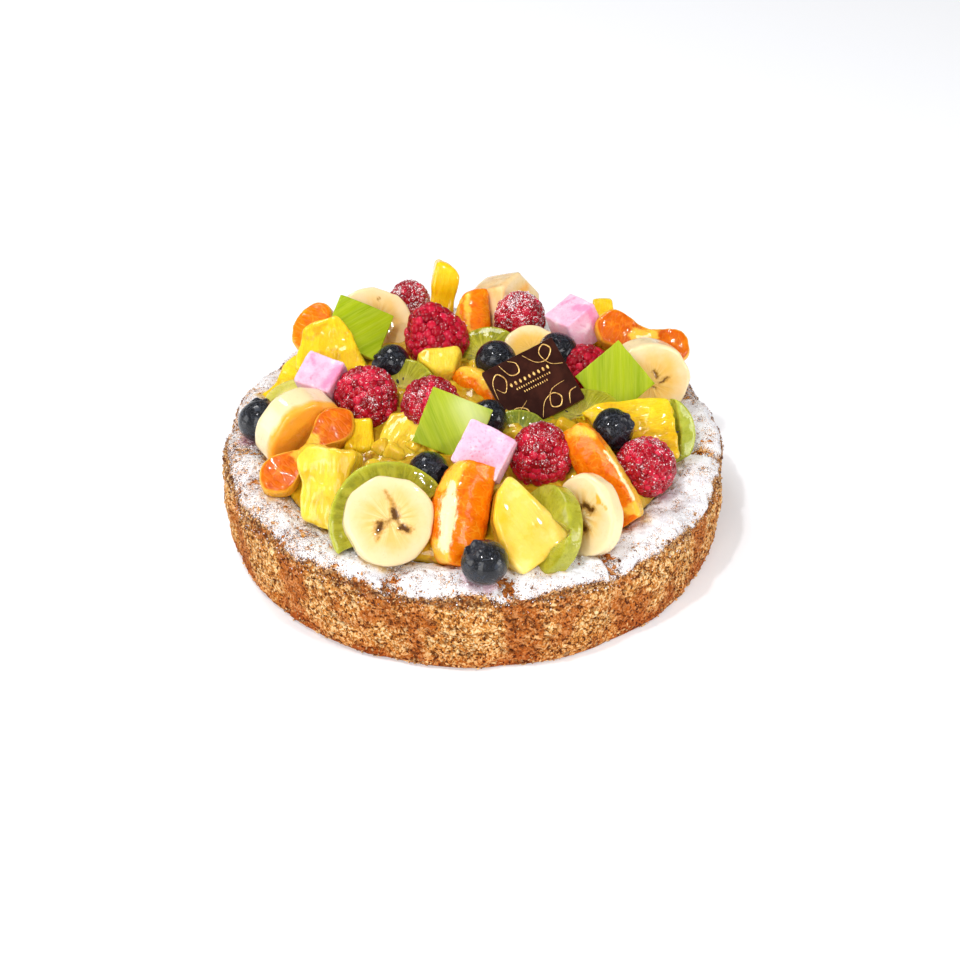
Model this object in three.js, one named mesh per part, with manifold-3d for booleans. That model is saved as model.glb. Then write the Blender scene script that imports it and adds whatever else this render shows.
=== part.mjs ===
// Mixed fruit tart: a piped nut sponge base with a raised rim, a custard bed and a heap of glazed
// fruit, marshmallow cubes, green chocolate squares and a dark chocolate plaque.
//
// Millimetres, +Z up. The origin is on the table, under the centre of the sponge. The tart is seen
// from the front, so -Y is the front and +X is the right.
import * as THREE from "three";
import { mergeVertices } from "three/addons/utils/BufferGeometryUtils.js";
import Module from "manifold-3d";

const wasm = await Module();
wasm.setup();

// ---------------------------------------------------------------- driving dimensions

const GAP = 0.3; // clearance between pieces that rest on each other

// Sponge: a disc baked in a ring, with a border of piped blobs.
const FOOT_RADIUS = 86.5;
const BELLY_RADIUS = 89;
const SPONGE_HEIGHT = 31;
const RIM_RISE = 4.5;
const BLOBS = 18;
const BLOB_RISE = 1.6;
const BLOB_BULGE = 1.2;
const BLOB_WANDER = [0.35, 0.2]; // how unevenly the blobs were piped, slow and fast
const STEPS_PER_BLOB = 4;

// Custard bed that carries the fruit.
const BED_RADIUS = 70;
const BED_EDGE = 3;
const BED_RISE = 12;
const BED_SIDES = 24;
const BED_RINGS = 3;

// Raspberries: shares of the radius and of the length.
const BERRY_COLUMNS = 12;
const BERRY_ROWS = 6;
const BERRY_CONE = 0.14;
const BERRY_HOLLOW = 0.1;
const BERRY_FULLNESS = 0.8;
const DRUPELET_DEPTH = 0.13;

// Blueberries: shares of the radius, and the latitudes of the rings in degrees.
const BLUEBERRY_SIDES = 10;
const BLUEBERRY_FLATTEN = 0.92;
const BLUEBERRY_LATITUDES = [-55, -25, 5, 35, 60];
const CROWN_RIM = 0.38;
const CROWN_TOP = 0.98;
const CROWN_FLOOR = 0.72;

// Slices, chunks and sweets.
const SLICE_SIDES = 14;
const SLICE_ROUNDING = 0.8;
const BANANA_CORNERS = 3;
const BANANA_CORNER_SHARE = 0.025;
const CHUNK_ROUNDING = 1.2;
const SWEET_ROUNDING = 0.8;
const CHOCOLATE_THICKNESS = 1.8;

// Mandarin segments: the section goes out from the thin inner edge, in shares of the depth and of
// the half thickness.
const SEGMENT_STATIONS = 6;
const SEGMENT_SECTION = [[0, 0], [0.35, 0.7], [0.8, 1], [1, 0], [0.8, -1], [0.35, -0.7]];
const SEGMENT_FULLNESS = 0.7;
const SEGMENT_BEND = 0.25;
const OPENED_LOBE_SWELL = 0.55;

// ---------------------------------------------------------------- finishes

function finish(color, roughness) {
  return new THREE.MeshStandardMaterial({ color, roughness, metalness: 0 });
}

const FINISHES = {
  sponge: () => finish(0xc89a5c, 0.9),
  custard: () => finish(0xd8b84a, 0.35),
  raspberry: () => finish(0xb3173a, 0.35),
  blueberry: () => finish(0x262c3c, 0.45),
  banana: () => finish(0xf3e3a6, 0.3),
  kiwi: () => finish(0x9cb52c, 0.25),
  pineapple: () => finish(0xf4d31e, 0.25),
  mango: () => finish(0xf6bf12, 0.25),
  mandarin: () => finish(0xf27a0c, 0.25),
  marshmallow: () => finish(0xf6c3dc, 0.85),
  green_chocolate: () => finish(0x9fcb2f, 0.3),
  dark_chocolate: () => finish(0x3a1a18, 0.3),
};

// ---------------------------------------------------------------- solids and places

const X_AXIS = new THREE.Vector3(1, 0, 0);
const Z_AXIS = new THREE.Vector3(0, 0, 1);

// A closed geometry as a solid in the tart's frame.
function solidOf(geometry, matrix) {
  const bare = geometry.clone();
  for (const name of Object.keys(bare.attributes)) {
    if (name !== "position") bare.deleteAttribute(name);
  }
  const merged = mergeVertices(bare.applyMatrix4(matrix), 1e-4);
  const vertProperties = merged.attributes.position.array;
  const triVerts = new Uint32Array(merged.index.array);
  return new wasm.Manifold(new wasm.Mesh({ numProp: 3, vertProperties, triVerts }));
}

// A solid as a geometry in the frame that the matrix describes.
function geometryOf(solid, matrix) {
  const mesh = solid.getMesh();
  const geometry = new THREE.BufferGeometry();
  geometry.setAttribute("position", new THREE.BufferAttribute(mesh.vertProperties, 3));
  geometry.setIndex(new THREE.BufferAttribute(mesh.triVerts, 1));
  geometry.applyMatrix4(matrix.clone().invert());
  geometry.computeVertexNormals();
  return geometry;
}

// The frame of a piece. Its face looks along its own +Z: turn is the way it looks, from the front
// towards the right, lean is how far it looks up, and roll spins the piece on its face.
function frameOf({ at, turn = 0, lean = 90, roll = 0 }) {
  const degrees = THREE.MathUtils.degToRad;
  const rotation = new THREE.Quaternion()
    .setFromAxisAngle(Z_AXIS, degrees(turn))
    .multiply(new THREE.Quaternion().setFromAxisAngle(X_AXIS, degrees(90 - lean)))
    .multiply(new THREE.Quaternion().setFromAxisAngle(Z_AXIS, degrees(roll)));
  return new THREE.Matrix4().compose(
    new THREE.Vector3(...at),
    rotation,
    new THREE.Vector3(1, 1, 1),
  );
}

// The same geometry grown on every side by the clearance.
function grown(geometry) {
  geometry.computeBoundingBox();
  const size = geometry.boundingBox.getSize(new THREE.Vector3());
  const centre = geometry.boundingBox.getCenter(new THREE.Vector3());
  const stretch = size.clone().addScalar(2 * GAP).divide(size);
  return geometry
    .clone()
    .translate(-centre.x, -centre.y, -centre.z)
    .scale(stretch.x, stretch.y, stretch.z)
    .translate(centre.x, centre.y, centre.z);
}

// The largest body of a solid, so that a cut leaves no crumbs behind.
function largestBody(solid) {
  const bodies = solid.decompose();
  return bodies.reduce((best, body) => (body.volume() > best.volume() ? body : best));
}

// Rings of equal length, from a lower pole to an upper pole, as one closed geometry.
function ringGeometry(bottom, rings, top) {
  const count = rings[0].length;
  const vertices = [bottom, ...rings.flat(), top];
  const last = vertices.length - 1;
  const faces = [];
  for (let i = 0; i < count; i += 1) {
    const next = (i + 1) % count;
    faces.push(0, 1 + next, 1 + i);
    for (let row = 0; row < rings.length - 1; row += 1) {
      const low = 1 + row * count;
      const high = low + count;
      faces.push(low + i, low + next, high + next);
      faces.push(low + i, high + next, high + i);
    }
    const rim = last - count;
    faces.push(last, rim + i, rim + next);
  }
  const geometry = new THREE.BufferGeometry();
  geometry.setAttribute("position", new THREE.Float32BufferAttribute(vertices.flat(), 3));
  geometry.setIndex(faces);
  return geometry;
}

// ---------------------------------------------------------------- sponge and custard

// How far a point of the border is up a piped blob: 0 in a crease and 1 on the crown.
function blobShare(angle) {
  const [slow, fast] = BLOB_WANDER;
  const wander = slow * Math.sin(3 * angle + 1) + fast * Math.sin(5 * angle);
  return Math.sqrt(Math.abs(Math.sin((BLOBS * angle) / 2 + wander)));
}

// The sponge, grown on its top and sides by an extra amount.
function spongeGeometry(extra = 0) {
  const floor = SPONGE_HEIGHT + extra;
  const crown = SPONGE_HEIGHT + RIM_RISE + extra;
  // Radius, height, and how much of the blobs' bulge and rise each ring shows.
  const profile = [
    [FOOT_RADIUS - 2, -extra, 0.3, 0],
    [FOOT_RADIUS + extra, 2.5, 0.6, 0],
    [FOOT_RADIUS + 1.5 + extra, 13, 1, 0],
    [BELLY_RADIUS + extra, 25, 1, 0],
    [BELLY_RADIUS - 1.5 + extra, crown - 4, 1, 0.6],
    [BELLY_RADIUS - 6 + extra, crown - 0.7, 0.8, 1],
    [BELLY_RADIUS - 11, crown - 0.2, 0, 1],
    [BELLY_RADIUS - 16, crown - 2.6, 0, 0.5],
    [BED_RADIUS + 0.5, floor, 0, 0],
  ];
  const steps = BLOBS * STEPS_PER_BLOB;
  const rings = profile.map(([radius, height, bulge, rise]) => {
    const ring = [];
    for (let i = 0; i < steps; i += 1) {
      const angle = (i / steps) * 2 * Math.PI;
      const share = blobShare(angle);
      const r = radius - bulge * BLOB_BULGE * (1 - share);
      const z = height - rise * BLOB_RISE * (1 - share);
      ring.push([r * Math.cos(angle), r * Math.sin(angle), z]);
    }
    return ring;
  });
  return ringGeometry([0, 0, -extra], rings, [0, 0, floor]);
}

// The custard dome, grown on its top and side by an extra amount.
function custardGeometry(extra = 0) {
  const floor = SPONGE_HEIGHT + GAP - extra;
  const edge = SPONGE_HEIGHT + BED_EDGE + extra;
  const profile = [
    new THREE.Vector2(0, floor),
    new THREE.Vector2(BED_RADIUS + extra, floor),
    new THREE.Vector2(BED_RADIUS + extra, edge),
  ];
  for (let ring = 1; ring <= BED_RINGS; ring += 1) {
    const share = 1 - ring / BED_RINGS;
    const height = edge + BED_RISE * (1 - share * share);
    profile.push(new THREE.Vector2(BED_RADIUS * share, height));
  }
  return new THREE.LatheGeometry(profile, BED_SIDES).rotateX(Math.PI / 2);
}

// ---------------------------------------------------------------- fruit shapes
// Each shape is centred on its own origin and faces its own +Z.

// A raspberry, tip up, with staggered rows of drupelets.
function raspberryGeometry({ width, length }) {
  const rings = [];
  for (let row = 1; row <= BERRY_ROWS; row += 1) {
    const polar = Math.PI * (1 - row / (BERRY_ROWS + 1));
    const cone = 1 - BERRY_CONE * Math.cos(polar);
    const ring = [];
    for (let i = 0; i < BERRY_COLUMNS; i += 1) {
      const angle = (i / BERRY_COLUMNS) * 2 * Math.PI;
      const bump = 1 - DRUPELET_DEPTH * ((i + row) % 2);
      const radius = (width / 2) * cone * Math.sin(polar) ** BERRY_FULLNESS * bump;
      const height = (length / 2) * Math.cos(polar);
      ring.push([radius * Math.cos(angle), radius * Math.sin(angle), height]);
    }
    rings.push(ring);
  }
  return ringGeometry([0, 0, (BERRY_HOLLOW - 0.5) * length], rings, [0, 0, length / 2]);
}

// A blueberry with its open crown up.
function blueberryGeometry({ width }) {
  const radius = width / 2;
  const profile = [new THREE.Vector2(0, -radius * BLUEBERRY_FLATTEN)];
  for (const degrees of BLUEBERRY_LATITUDES) {
    const angle = THREE.MathUtils.degToRad(degrees);
    const height = radius * BLUEBERRY_FLATTEN * Math.sin(angle);
    profile.push(new THREE.Vector2(radius * Math.cos(angle), height));
  }
  profile.push(new THREE.Vector2(CROWN_RIM * radius, CROWN_TOP * radius));
  profile.push(new THREE.Vector2((CROWN_RIM / 2) * radius, CROWN_FLOOR * radius));
  profile.push(new THREE.Vector2(0, CROWN_FLOOR * radius));
  return new THREE.LatheGeometry(profile, BLUEBERRY_SIDES).rotateX(Math.PI / 2);
}

// An outline extruded to a thickness, with its edges rounded off.
function platedGeometry(outline, thickness, rounding) {
  const geometry = new THREE.ExtrudeGeometry(new THREE.Shape(outline), {
    depth: thickness - 2 * rounding,
    bevelThickness: rounding,
    bevelSize: rounding,
    bevelOffset: -rounding,
    bevelSegments: 1,
    steps: 1,
  });
  return geometry.translate(0, 0, rounding - thickness / 2);
}

// A banana slice: nearly round, with three soft corners.
function bananaGeometry({ width, thickness }) {
  const outline = [];
  for (let i = 0; i < SLICE_SIDES; i += 1) {
    const angle = (i / SLICE_SIDES) * 2 * Math.PI;
    const radius = (width / 2) * (1 + BANANA_CORNER_SHARE * Math.cos(BANANA_CORNERS * angle));
    outline.push(new THREE.Vector2(radius * Math.cos(angle), radius * Math.sin(angle)));
  }
  return platedGeometry(outline, thickness, SLICE_ROUNDING);
}

// A kiwi slice: an oval, or the part of it that spans the given arc from its own +X.
function kiwiGeometry({ width, length, thickness, arc = 360 }) {
  const whole = arc === 360;
  const sides = Math.max(5, Math.round((SLICE_SIDES * arc) / 360));
  const outline = whole ? [] : [new THREE.Vector2(0, 0)];
  for (let i = 0; i < (whole ? sides : sides + 1); i += 1) {
    const angle = THREE.MathUtils.degToRad((i / sides) * arc);
    const x = (length / 2) * Math.cos(angle);
    const y = (width / 2) * Math.sin(angle);
    outline.push(new THREE.Vector2(x, y));
  }
  return platedGeometry(outline, thickness, SLICE_ROUNDING);
}

// A chunk cut from a ring of pineapple or from a mango: a block that narrows to one end, with the
// other end rounded. slant shifts the narrow end sideways.
function chunkGeometry({ width, length, thickness, taper, slant = 0, bulge = 0.1 }) {
  const half = width / 2;
  const outline = [
    new THREE.Vector2(-half, -length / 2),
    new THREE.Vector2(-half / 3, -length / 2 - bulge * length),
    new THREE.Vector2(half / 3, -length / 2 - bulge * length),
    new THREE.Vector2(half, -length / 2),
    new THREE.Vector2(slant + half * taper, length / 2),
    new THREE.Vector2(slant - half * taper, length / 2),
  ];
  return platedGeometry(outline, thickness, CHUNK_ROUNDING);
}

// A mandarin segment: a half moon along its own X, its thin inner edge at -Y.
function segmentGeometry({ length, depth, thickness }) {
  const rings = [];
  for (let i = 1; i <= SEGMENT_STATIONS; i += 1) {
    const angle = Math.PI * (i / (SEGMENT_STATIONS + 1) - 0.5);
    const along = (length / 2) * Math.sin(angle);
    const swell = Math.cos(angle) ** SEGMENT_FULLNESS;
    const ring = [];
    for (const [out, side] of SEGMENT_SECTION) {
      const y = depth * (out * swell - 0.5 + SEGMENT_BEND * (1 - swell));
      ring.push([along, y, -side * (thickness / 2) * swell]);
    }
    rings.push(ring);
  }
  const pole = depth * (SEGMENT_BEND - 0.35);
  return ringGeometry([-length / 2, pole, 0], rings, [length / 2, pole, 0]);
}

// A mandarin segment cut along its back and opened: two lobes that join at a waist.
function openedSegmentGeometry({ length, width, thickness, waist }) {
  const sides = SLICE_SIDES + 2;
  const outline = [];
  for (let i = 0; i < sides; i += 1) {
    const angle = (i / sides) * 2 * Math.PI;
    const pinch = waist + (1 - waist) * Math.cos(angle) ** 2;
    const x = (length / 2) * Math.cos(angle);
    const swell = OPENED_LOBE_SWELL * Math.sin(2 * angle) ** 2;
    const y = (width / 2) * Math.sin(angle) * (pinch + swell);
    outline.push(new THREE.Vector2(x, y));
  }
  return platedGeometry(outline, thickness, SLICE_ROUNDING);
}

// A rectangular block with rounded-off edges, for the cubes.
function blockGeometry({ width, length, thickness }) {
  const outline = [
    new THREE.Vector2(-width / 2, -length / 2),
    new THREE.Vector2(width / 2, -length / 2),
    new THREE.Vector2(width / 2, length / 2),
    new THREE.Vector2(-width / 2, length / 2),
  ];
  return platedGeometry(outline, thickness, SWEET_ROUNDING);
}

// A thin plate with square edges, for the chocolate.
function plateGeometry({ width, length }) {
  return new THREE.BoxGeometry(width, length, CHOCOLATE_THICKNESS);
}

// ---------------------------------------------------------------- the pieces
// Upper pieces come first: each one keeps its whole form, and what lies under it gives way.

const KINDS = {
  dark_chocolate: plateGeometry,
  green_chocolate: plateGeometry,
  marshmallow: blockGeometry,
  raspberry: raspberryGeometry,
  blueberry: blueberryGeometry,
  banana: bananaGeometry,
  mandarin: segmentGeometry,
  opened_mandarin: openedSegmentGeometry,
  mango: chunkGeometry,
  pineapple: chunkGeometry,
  kiwi: kiwiGeometry,
};

const PIECES = [
  ["chocolate_plaque", "dark_chocolate",
    { at: [21, 2, 55], turn: 0, lean: 50, roll: 28, width: 28, length: 25 }],

  ["green_square_left", "green_chocolate",
    { at: [-42, 44, 52], turn: 25, lean: 58, roll: -40, width: 21, length: 20 }],
  ["green_square_middle", "green_chocolate",
    { at: [-7, -22, 55], turn: -8, lean: 34, roll: -17, width: 22, length: 20 }],
  ["green_square_right", "green_chocolate",
    { at: [50, 10, 52], turn: 0, lean: 38, roll: 40, width: 20, length: 20 }],

  ["marshmallow_left", "marshmallow",
    { at: [-53, 9, 53], turn: -22, lean: 60, roll: -7, width: 14, length: 13, thickness: 13 }],
  ["marshmallow_front", "marshmallow",
    { at: [4, -39, 56], turn: -8, lean: 42, roll: -22, width: 17, length: 16, thickness: 14 }],
  ["marshmallow_back", "marshmallow",
    { at: [37, 43, 54], turn: -77, lean: 69, roll: 25, width: 14, length: 14, thickness: 15 }],

  ["raspberry_back_left", "raspberry",
    { at: [-24, 68, 49], turn: 0, lean: 67, width: 15, length: 15 }],
  ["raspberry_tall", "raspberry",
    { at: [-14, 39, 52], turn: -118, lean: 66, width: 23, length: 24 }],
  ["raspberry_back", "raspberry",
    { at: [17, 53, 51], turn: 0, lean: 73, width: 19, length: 20 }],
  ["raspberry_left", "raspberry",
    { at: [-37, 1, 50], turn: 9, lean: -5, width: 22, length: 23 }],
  ["raspberry_middle", "raspberry",
    { at: [-15, -6, 51], turn: -15, lean: 5, width: 21, length: 22 }],
  ["raspberry_front", "raspberry",
    { at: [23, -33, 51], turn: 0, lean: 75, width: 21, length: 24 }],
  ["raspberry_right", "raspberry",
    { at: [59, -32, 45], turn: 9, lean: 48, width: 21, length: 20 }],
  ["raspberry_behind_plaque", "raspberry",
    { at: [40, 22, 48], turn: 20, lean: 53, width: 20, length: 20 }],

  ["blueberry_upper_left", "blueberry", { at: [-29, 22, 51], turn: -70, lean: 14, width: 14 }],
  ["blueberry_rim_left", "blueberry", { at: [-75, -1, 42], turn: 180, lean: 35, width: 16 }],
  ["blueberry_centre", "blueberry", { at: [8, 21, 53], turn: 180, lean: 0, width: 15 }],
  ["blueberry_behind_plaque", "blueberry", { at: [30, 26, 53], turn: -30, lean: 50, width: 15 }],
  ["blueberry_middle", "blueberry", { at: [5, -14, 52], turn: -70, lean: 28, width: 14 }],
  ["blueberry_front_left", "blueberry", { at: [-15, -40, 48], turn: 52, lean: 18, width: 15 }],
  ["blueberry_front", "blueberry", { at: [4, -81, 42], turn: -90, lean: 60, width: 16 }],
  ["blueberry_right", "blueberry", { at: [48, -20, 52], turn: 70, lean: 40, width: 15 }],

  ["mango_front", "mango",
    { at: [17, -63, 45], turn: 9, lean: 45, roll: 30,
      width: 26, length: 28, thickness: 13, taper: 0.5, bulge: 0.04 }],
  ["kiwi_front", "kiwi",
    { at: [25, -64, 42], turn: -65, lean: 28, roll: 0,
      width: 31, length: 31, thickness: 6, arc: 360 }],
  ["banana_front", "banana",
    { at: [-28, -64, 46], turn: 12, lean: 42, roll: 20, width: 30, thickness: 8 }],
  ["banana_front_right", "banana",
    { at: [38, -60, 45], turn: -51, lean: 25, roll: 0, width: 28, thickness: 6 }],
  ["banana_right", "banana",
    { at: [62, 21, 45], turn: 21, lean: 13, roll: 0, width: 30, thickness: 9 }],
  ["banana_left", "banana",
    { at: [-61, -11, 46], turn: 37, lean: -10, roll: 0, width: 30, thickness: 11 }],
  ["banana_back_left", "banana",
    { at: [-37, 55, 46], turn: 27, lean: 39, roll: 0, width: 28, thickness: 8 }],
  ["banana_behind_centre", "banana",
    { at: [21, 31, 49], turn: 0, lean: 67, roll: 0, width: 21, thickness: 8 }],
  ["banana_back", "banana",
    { at: [12, 66, 44], turn: 67, lean: 23, roll: 0, width: 30, thickness: 15 }],

  ["mandarin_left", "opened_mandarin",
    { at: [-57, -24, 45], turn: 0, lean: 57, roll: 44,
      length: 41, width: 16, thickness: 8, waist: 0.3 }],
  ["mandarin_back_right", "opened_mandarin",
    { at: [61, 38, 51], turn: 9, lean: 48, roll: -24,
      length: 36, width: 16, thickness: 8, waist: 0.3 }],
  ["mandarin_back_left", "mandarin",
    { at: [-58, 50, 46], turn: -19, lean: 53, roll: 75, length: 21, depth: 15, thickness: 14 }],
  ["mandarin_back", "mandarin",
    { at: [0, 51, 49], turn: 0, lean: 42, roll: 90, length: 26, depth: 15, thickness: 13 }],
  ["mandarin_front", "mandarin",
    { at: [-4, -60, 46], turn: 8, lean: 45, roll: 74, length: 38, depth: 20, thickness: 15 }],
  ["mandarin_right", "mandarin",
    { at: [45, -40, 48], turn: 29, lean: 51, roll: -80, length: 40, depth: 15, thickness: 13 }],
  ["mandarin_by_plaque", "mandarin",
    { at: [2, 10, 48], turn: -33, lean: 57, roll: -17, length: 21, depth: 13, thickness: 13 }],

  ["mango_stick", "mango",
    { at: [-12, 71, 48], turn: 6, lean: 25, roll: -12,
      width: 10, length: 27, thickness: 9, taper: 0.9, bulge: 0 }],

  ["kiwi_front_left", "kiwi",
    { at: [-28, -59, 42], turn: 12, lean: 42, roll: 24,
      width: 41, length: 41, thickness: 6, arc: 180 }],
  ["pineapple_upper_left", "pineapple",
    { at: [-50, 38, 47], turn: -10, lean: 54, roll: 6,
      width: 26, length: 22, thickness: 15, taper: 0.25, slant: 2 }],
  ["pineapple_left", "pineapple",
    { at: [-60, 27, 41], turn: -53, lean: 51, roll: 101,
      width: 12, length: 16, thickness: 9, taper: 0.6 }],
  ["pineapple_front_left", "pineapple",
    { at: [-49, -42, 43], turn: -15, lean: 38, roll: 8,
      width: 17, length: 32, thickness: 12, taper: 0.9, bulge: 0.05 }],
  ["pineapple_middle_left", "pineapple",
    { at: [-22, -16, 44], turn: -14, lean: 66, roll: -12,
      width: 19, length: 17, thickness: 12, taper: 0.8 }],
  ["pineapple_centre", "pineapple",
    { at: [-11, 19, 49], turn: 0, lean: 73, roll: 0,
      width: 17, length: 13, thickness: 12, taper: 0.8 }],
  ["pineapple_right", "pineapple",
    { at: [53, -11, 45], turn: 9, lean: 48, roll: 95,
      width: 25, length: 36, thickness: 10, taper: 0.35, slant: 5, bulge: 0.05 }],
  ["pineapple_small", "pineapple",
    { at: [-39, -16, 45], turn: 0, lean: 66, roll: 0,
      width: 11, length: 12, thickness: 10, taper: 0.7 }],
  ["pineapple_back_right", "pineapple",
    { at: [48, 62, 42], turn: 0, lean: 66, roll: 0,
      width: 10, length: 17, thickness: 10, taper: 0.7 }],

  ["kiwi_right", "kiwi",
    { at: [64, -9, 41], turn: 23, lean: 28, roll: 0,
      width: 27, length: 28, thickness: 7, arc: 360 }],
  ["kiwi_behind_plaque", "kiwi",
    { at: [37, -4, 43], turn: 19, lean: 72, roll: 9,
      width: 26, length: 32, thickness: 8, arc: 180 }],
  ["kiwi_core", "kiwi",
    { at: [16, -16, 43], turn: -10, lean: 50, roll: 0,
      width: 24, length: 24, thickness: 6, arc: 180 }],
  ["kiwi_centre", "kiwi",
    { at: [5, 32, 45], turn: -34, lean: 57, roll: 43,
      width: 26, length: 26, thickness: 8, arc: 180 }],
  ["kiwi_upper_left", "kiwi",
    { at: [-25, 13, 45], turn: -29, lean: 51, roll: 49,
      width: 24, length: 24, thickness: 8, arc: 180 }],
  ["kiwi_left", "kiwi",
    { at: [-65, 14, 40], turn: -71, lean: 71, roll: 80,
      width: 16, length: 18, thickness: 8, arc: 180 }],
];

// ---------------------------------------------------------------- the tart

const tart = new THREE.Group();
const WORLD = new THREE.Matrix4();

function addMesh(name, geometry, material) {
  const mesh = new THREE.Mesh(geometry, material);
  mesh.name = name;
  tart.add(mesh);
  return mesh;
}

// Places one piece, cut back from everything that was there before it.
function addPiece([name, kind, sizes], obstacles) {
  const shape = KINDS[kind](sizes);
  const frame = frameOf(sizes);
  let solid = solidOf(shape, frame);
  for (const obstacle of obstacles) solid = solid.subtract(obstacle);
  const geometry = geometryOf(largestBody(solid), frame);
  const material = FINISHES[kind.replace("opened_", "")]();
  const mesh = addMesh(name, geometry, material);
  mesh.position.setFromMatrixPosition(frame);
  mesh.quaternion.setFromRotationMatrix(frame);
  obstacles.push(solidOf(grown(shape), frame));
}

addMesh("sponge_base", spongeGeometry(), FINISHES.sponge());
addMesh("custard_bed", custardGeometry(), FINISHES.custard());

const obstacles = [solidOf(spongeGeometry(GAP), WORLD), solidOf(custardGeometry(GAP), WORLD)];
for (const piece of PIECES) addPiece(piece, obstacles);

export default tart;
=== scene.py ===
"""Looks of a mixed fruit tart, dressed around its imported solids.

The tart is a piped nut sponge with a sugared rim, a custard bed and a heap of glazed fruit, with
marshmallow cubes, green chocolate squares and a dark chocolate plaque. Sizes are in millimetres
until a mesh is written, +Z is up, -Y is the front and +X is the right. Each piece has axes of its
own: its face looks along its own +Z.
"""

import logging
import math
from dataclasses import dataclass, field
from enum import Enum
from functools import cached_property
from typing import ClassVar

import bpy
import numpy as np
from mathutils import Matrix, Vector
from mathutils.kdtree import KDTree


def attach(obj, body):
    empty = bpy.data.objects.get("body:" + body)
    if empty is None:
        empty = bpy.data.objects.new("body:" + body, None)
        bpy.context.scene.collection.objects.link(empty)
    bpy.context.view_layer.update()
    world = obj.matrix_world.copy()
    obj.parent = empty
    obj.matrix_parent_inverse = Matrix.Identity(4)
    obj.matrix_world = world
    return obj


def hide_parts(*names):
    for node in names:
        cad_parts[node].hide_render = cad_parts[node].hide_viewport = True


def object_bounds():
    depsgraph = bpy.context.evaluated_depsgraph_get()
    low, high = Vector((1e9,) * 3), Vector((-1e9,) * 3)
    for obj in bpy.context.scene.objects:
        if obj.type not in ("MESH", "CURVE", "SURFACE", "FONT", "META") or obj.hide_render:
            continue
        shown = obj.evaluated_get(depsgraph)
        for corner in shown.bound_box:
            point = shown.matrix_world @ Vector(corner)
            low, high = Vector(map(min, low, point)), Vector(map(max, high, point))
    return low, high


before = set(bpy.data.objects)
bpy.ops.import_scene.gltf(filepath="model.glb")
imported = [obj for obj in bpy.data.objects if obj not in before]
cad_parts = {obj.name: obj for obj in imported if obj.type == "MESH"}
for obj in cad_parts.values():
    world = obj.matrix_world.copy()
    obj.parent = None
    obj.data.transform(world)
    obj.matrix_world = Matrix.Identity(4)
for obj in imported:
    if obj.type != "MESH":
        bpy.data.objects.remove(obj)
CAD_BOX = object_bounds()

LOG = logging.getLogger("fruit_tart")
MM = 0.001
BODY = "root"

PLACE = (0.0, 0.0, 0.0)
WHITE = (1.0, 1.0, 1.0, 1.0)

Array = np.ndarray
Random = np.random.Generator
Tree = bpy.types.NodeTree
Socket = bpy.types.NodeSocket
Colour = tuple[float, float, float]


class Side(Enum):
    """The end of its solid that a piece is set against, along one of its own axes."""
    LOW = "low"
    MIDDLE = "middle"
    HIGH = "high"


class Dusting(Enum):
    """How much icing sugar lies on a berry: grains per square millimetre, share of colour."""
    LIGHT = (0.09, -0.15)
    MEDIUM = (0.36, 0.1)
    HEAVY = (0.7, 0.28)


Grip = tuple[Side, Side, Side]


# ---------------------------------------- noise


def lattice(cells: Array, seed: int) -> Array:
    """Gives each whole-number cell a repeatable random number.

    Args:
        cells: Whole-number coordinates, three in the last axis.
        seed: Picks one of many patterns.

    Returns:
        Numbers from 0 to 1, one for each cell.
    """
    x, y, z = (cells[..., i].astype(np.int64) for i in range(3))
    mixed = x * 73856093 ^ y * 19349663 ^ z * 83492791 ^ seed * 2654435761
    mixed = (mixed ^ mixed >> 13) * 1274126177
    return ((mixed ^ mixed >> 16) & 0xFFFFFF) / float(0xFFFFFF)


def waves(points: Array, size: float, seed: int, layers: int = 1) -> Array:
    """Smooth layered noise.

    Args:
        points: Places in millimetres.
        size: Width of the broadest features.
        seed: Picks the pattern.
        layers: How many finer layers are added, each half as wide and half as strong.

    Returns:
        Values from about -1 to 1.
    """
    total = np.zeros(len(points))
    for layer in range(layers):
        scaled = points / (size * 0.5 ** layer)
        base = np.floor(scaled).astype(np.int64)
        part = scaled - base
        part = part * part * (3 - 2 * part)
        value = np.zeros(len(points))
        for corner in np.ndindex(2, 2, 2):
            weight = np.prod(np.where(np.array(corner), part, 1 - part), axis=-1)
            value += weight * lattice(base + np.array(corner), seed + 17 * layer)
        total += (2 * value - 1) * 0.5 ** layer
    return total


def cells(points: Array, size: float, seed: int) -> tuple[Array, Array]:
    """Cellular noise: distance to the nearest seed point, in cell widths.

    Args:
        points: Places in millimetres.
        size: Width of a cell.
        seed: Picks the pattern.

    Returns:
        The distance to the nearest and to the second nearest seed point.
    """
    scaled = points / size
    base = np.floor(scaled).astype(np.int64)
    nearest = np.full(len(points), 9.0)
    second = np.full(len(points), 9.0)
    for step in np.ndindex(3, 3, 3):
        cell = base + np.array(step) - 1
        jitter = np.stack([lattice(cell, seed + i) for i in range(3)], axis=-1)
        distance = length(cell + jitter - scaled)
        second = np.minimum(second, np.maximum(distance, nearest))
        nearest = np.minimum(nearest, distance)
    return nearest, second


def length(vectors: Array) -> Array:
    """The length of each vector."""
    return np.linalg.norm(vectors, axis=-1)


def unit(vectors: Array) -> Array:
    """Each vector brought to a length of one."""
    return vectors / np.maximum(np.linalg.norm(vectors, axis=-1, keepdims=True), 1e-09)


def ease(value: Array, low: float, high: float) -> Array:
    """Rises smoothly from 0 at low to 1 at high."""
    share = np.clip((value - low) / (high - low), 0, 1)
    return share * share * (3 - 2 * share)


# ---------------------------------------- shapes


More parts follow.
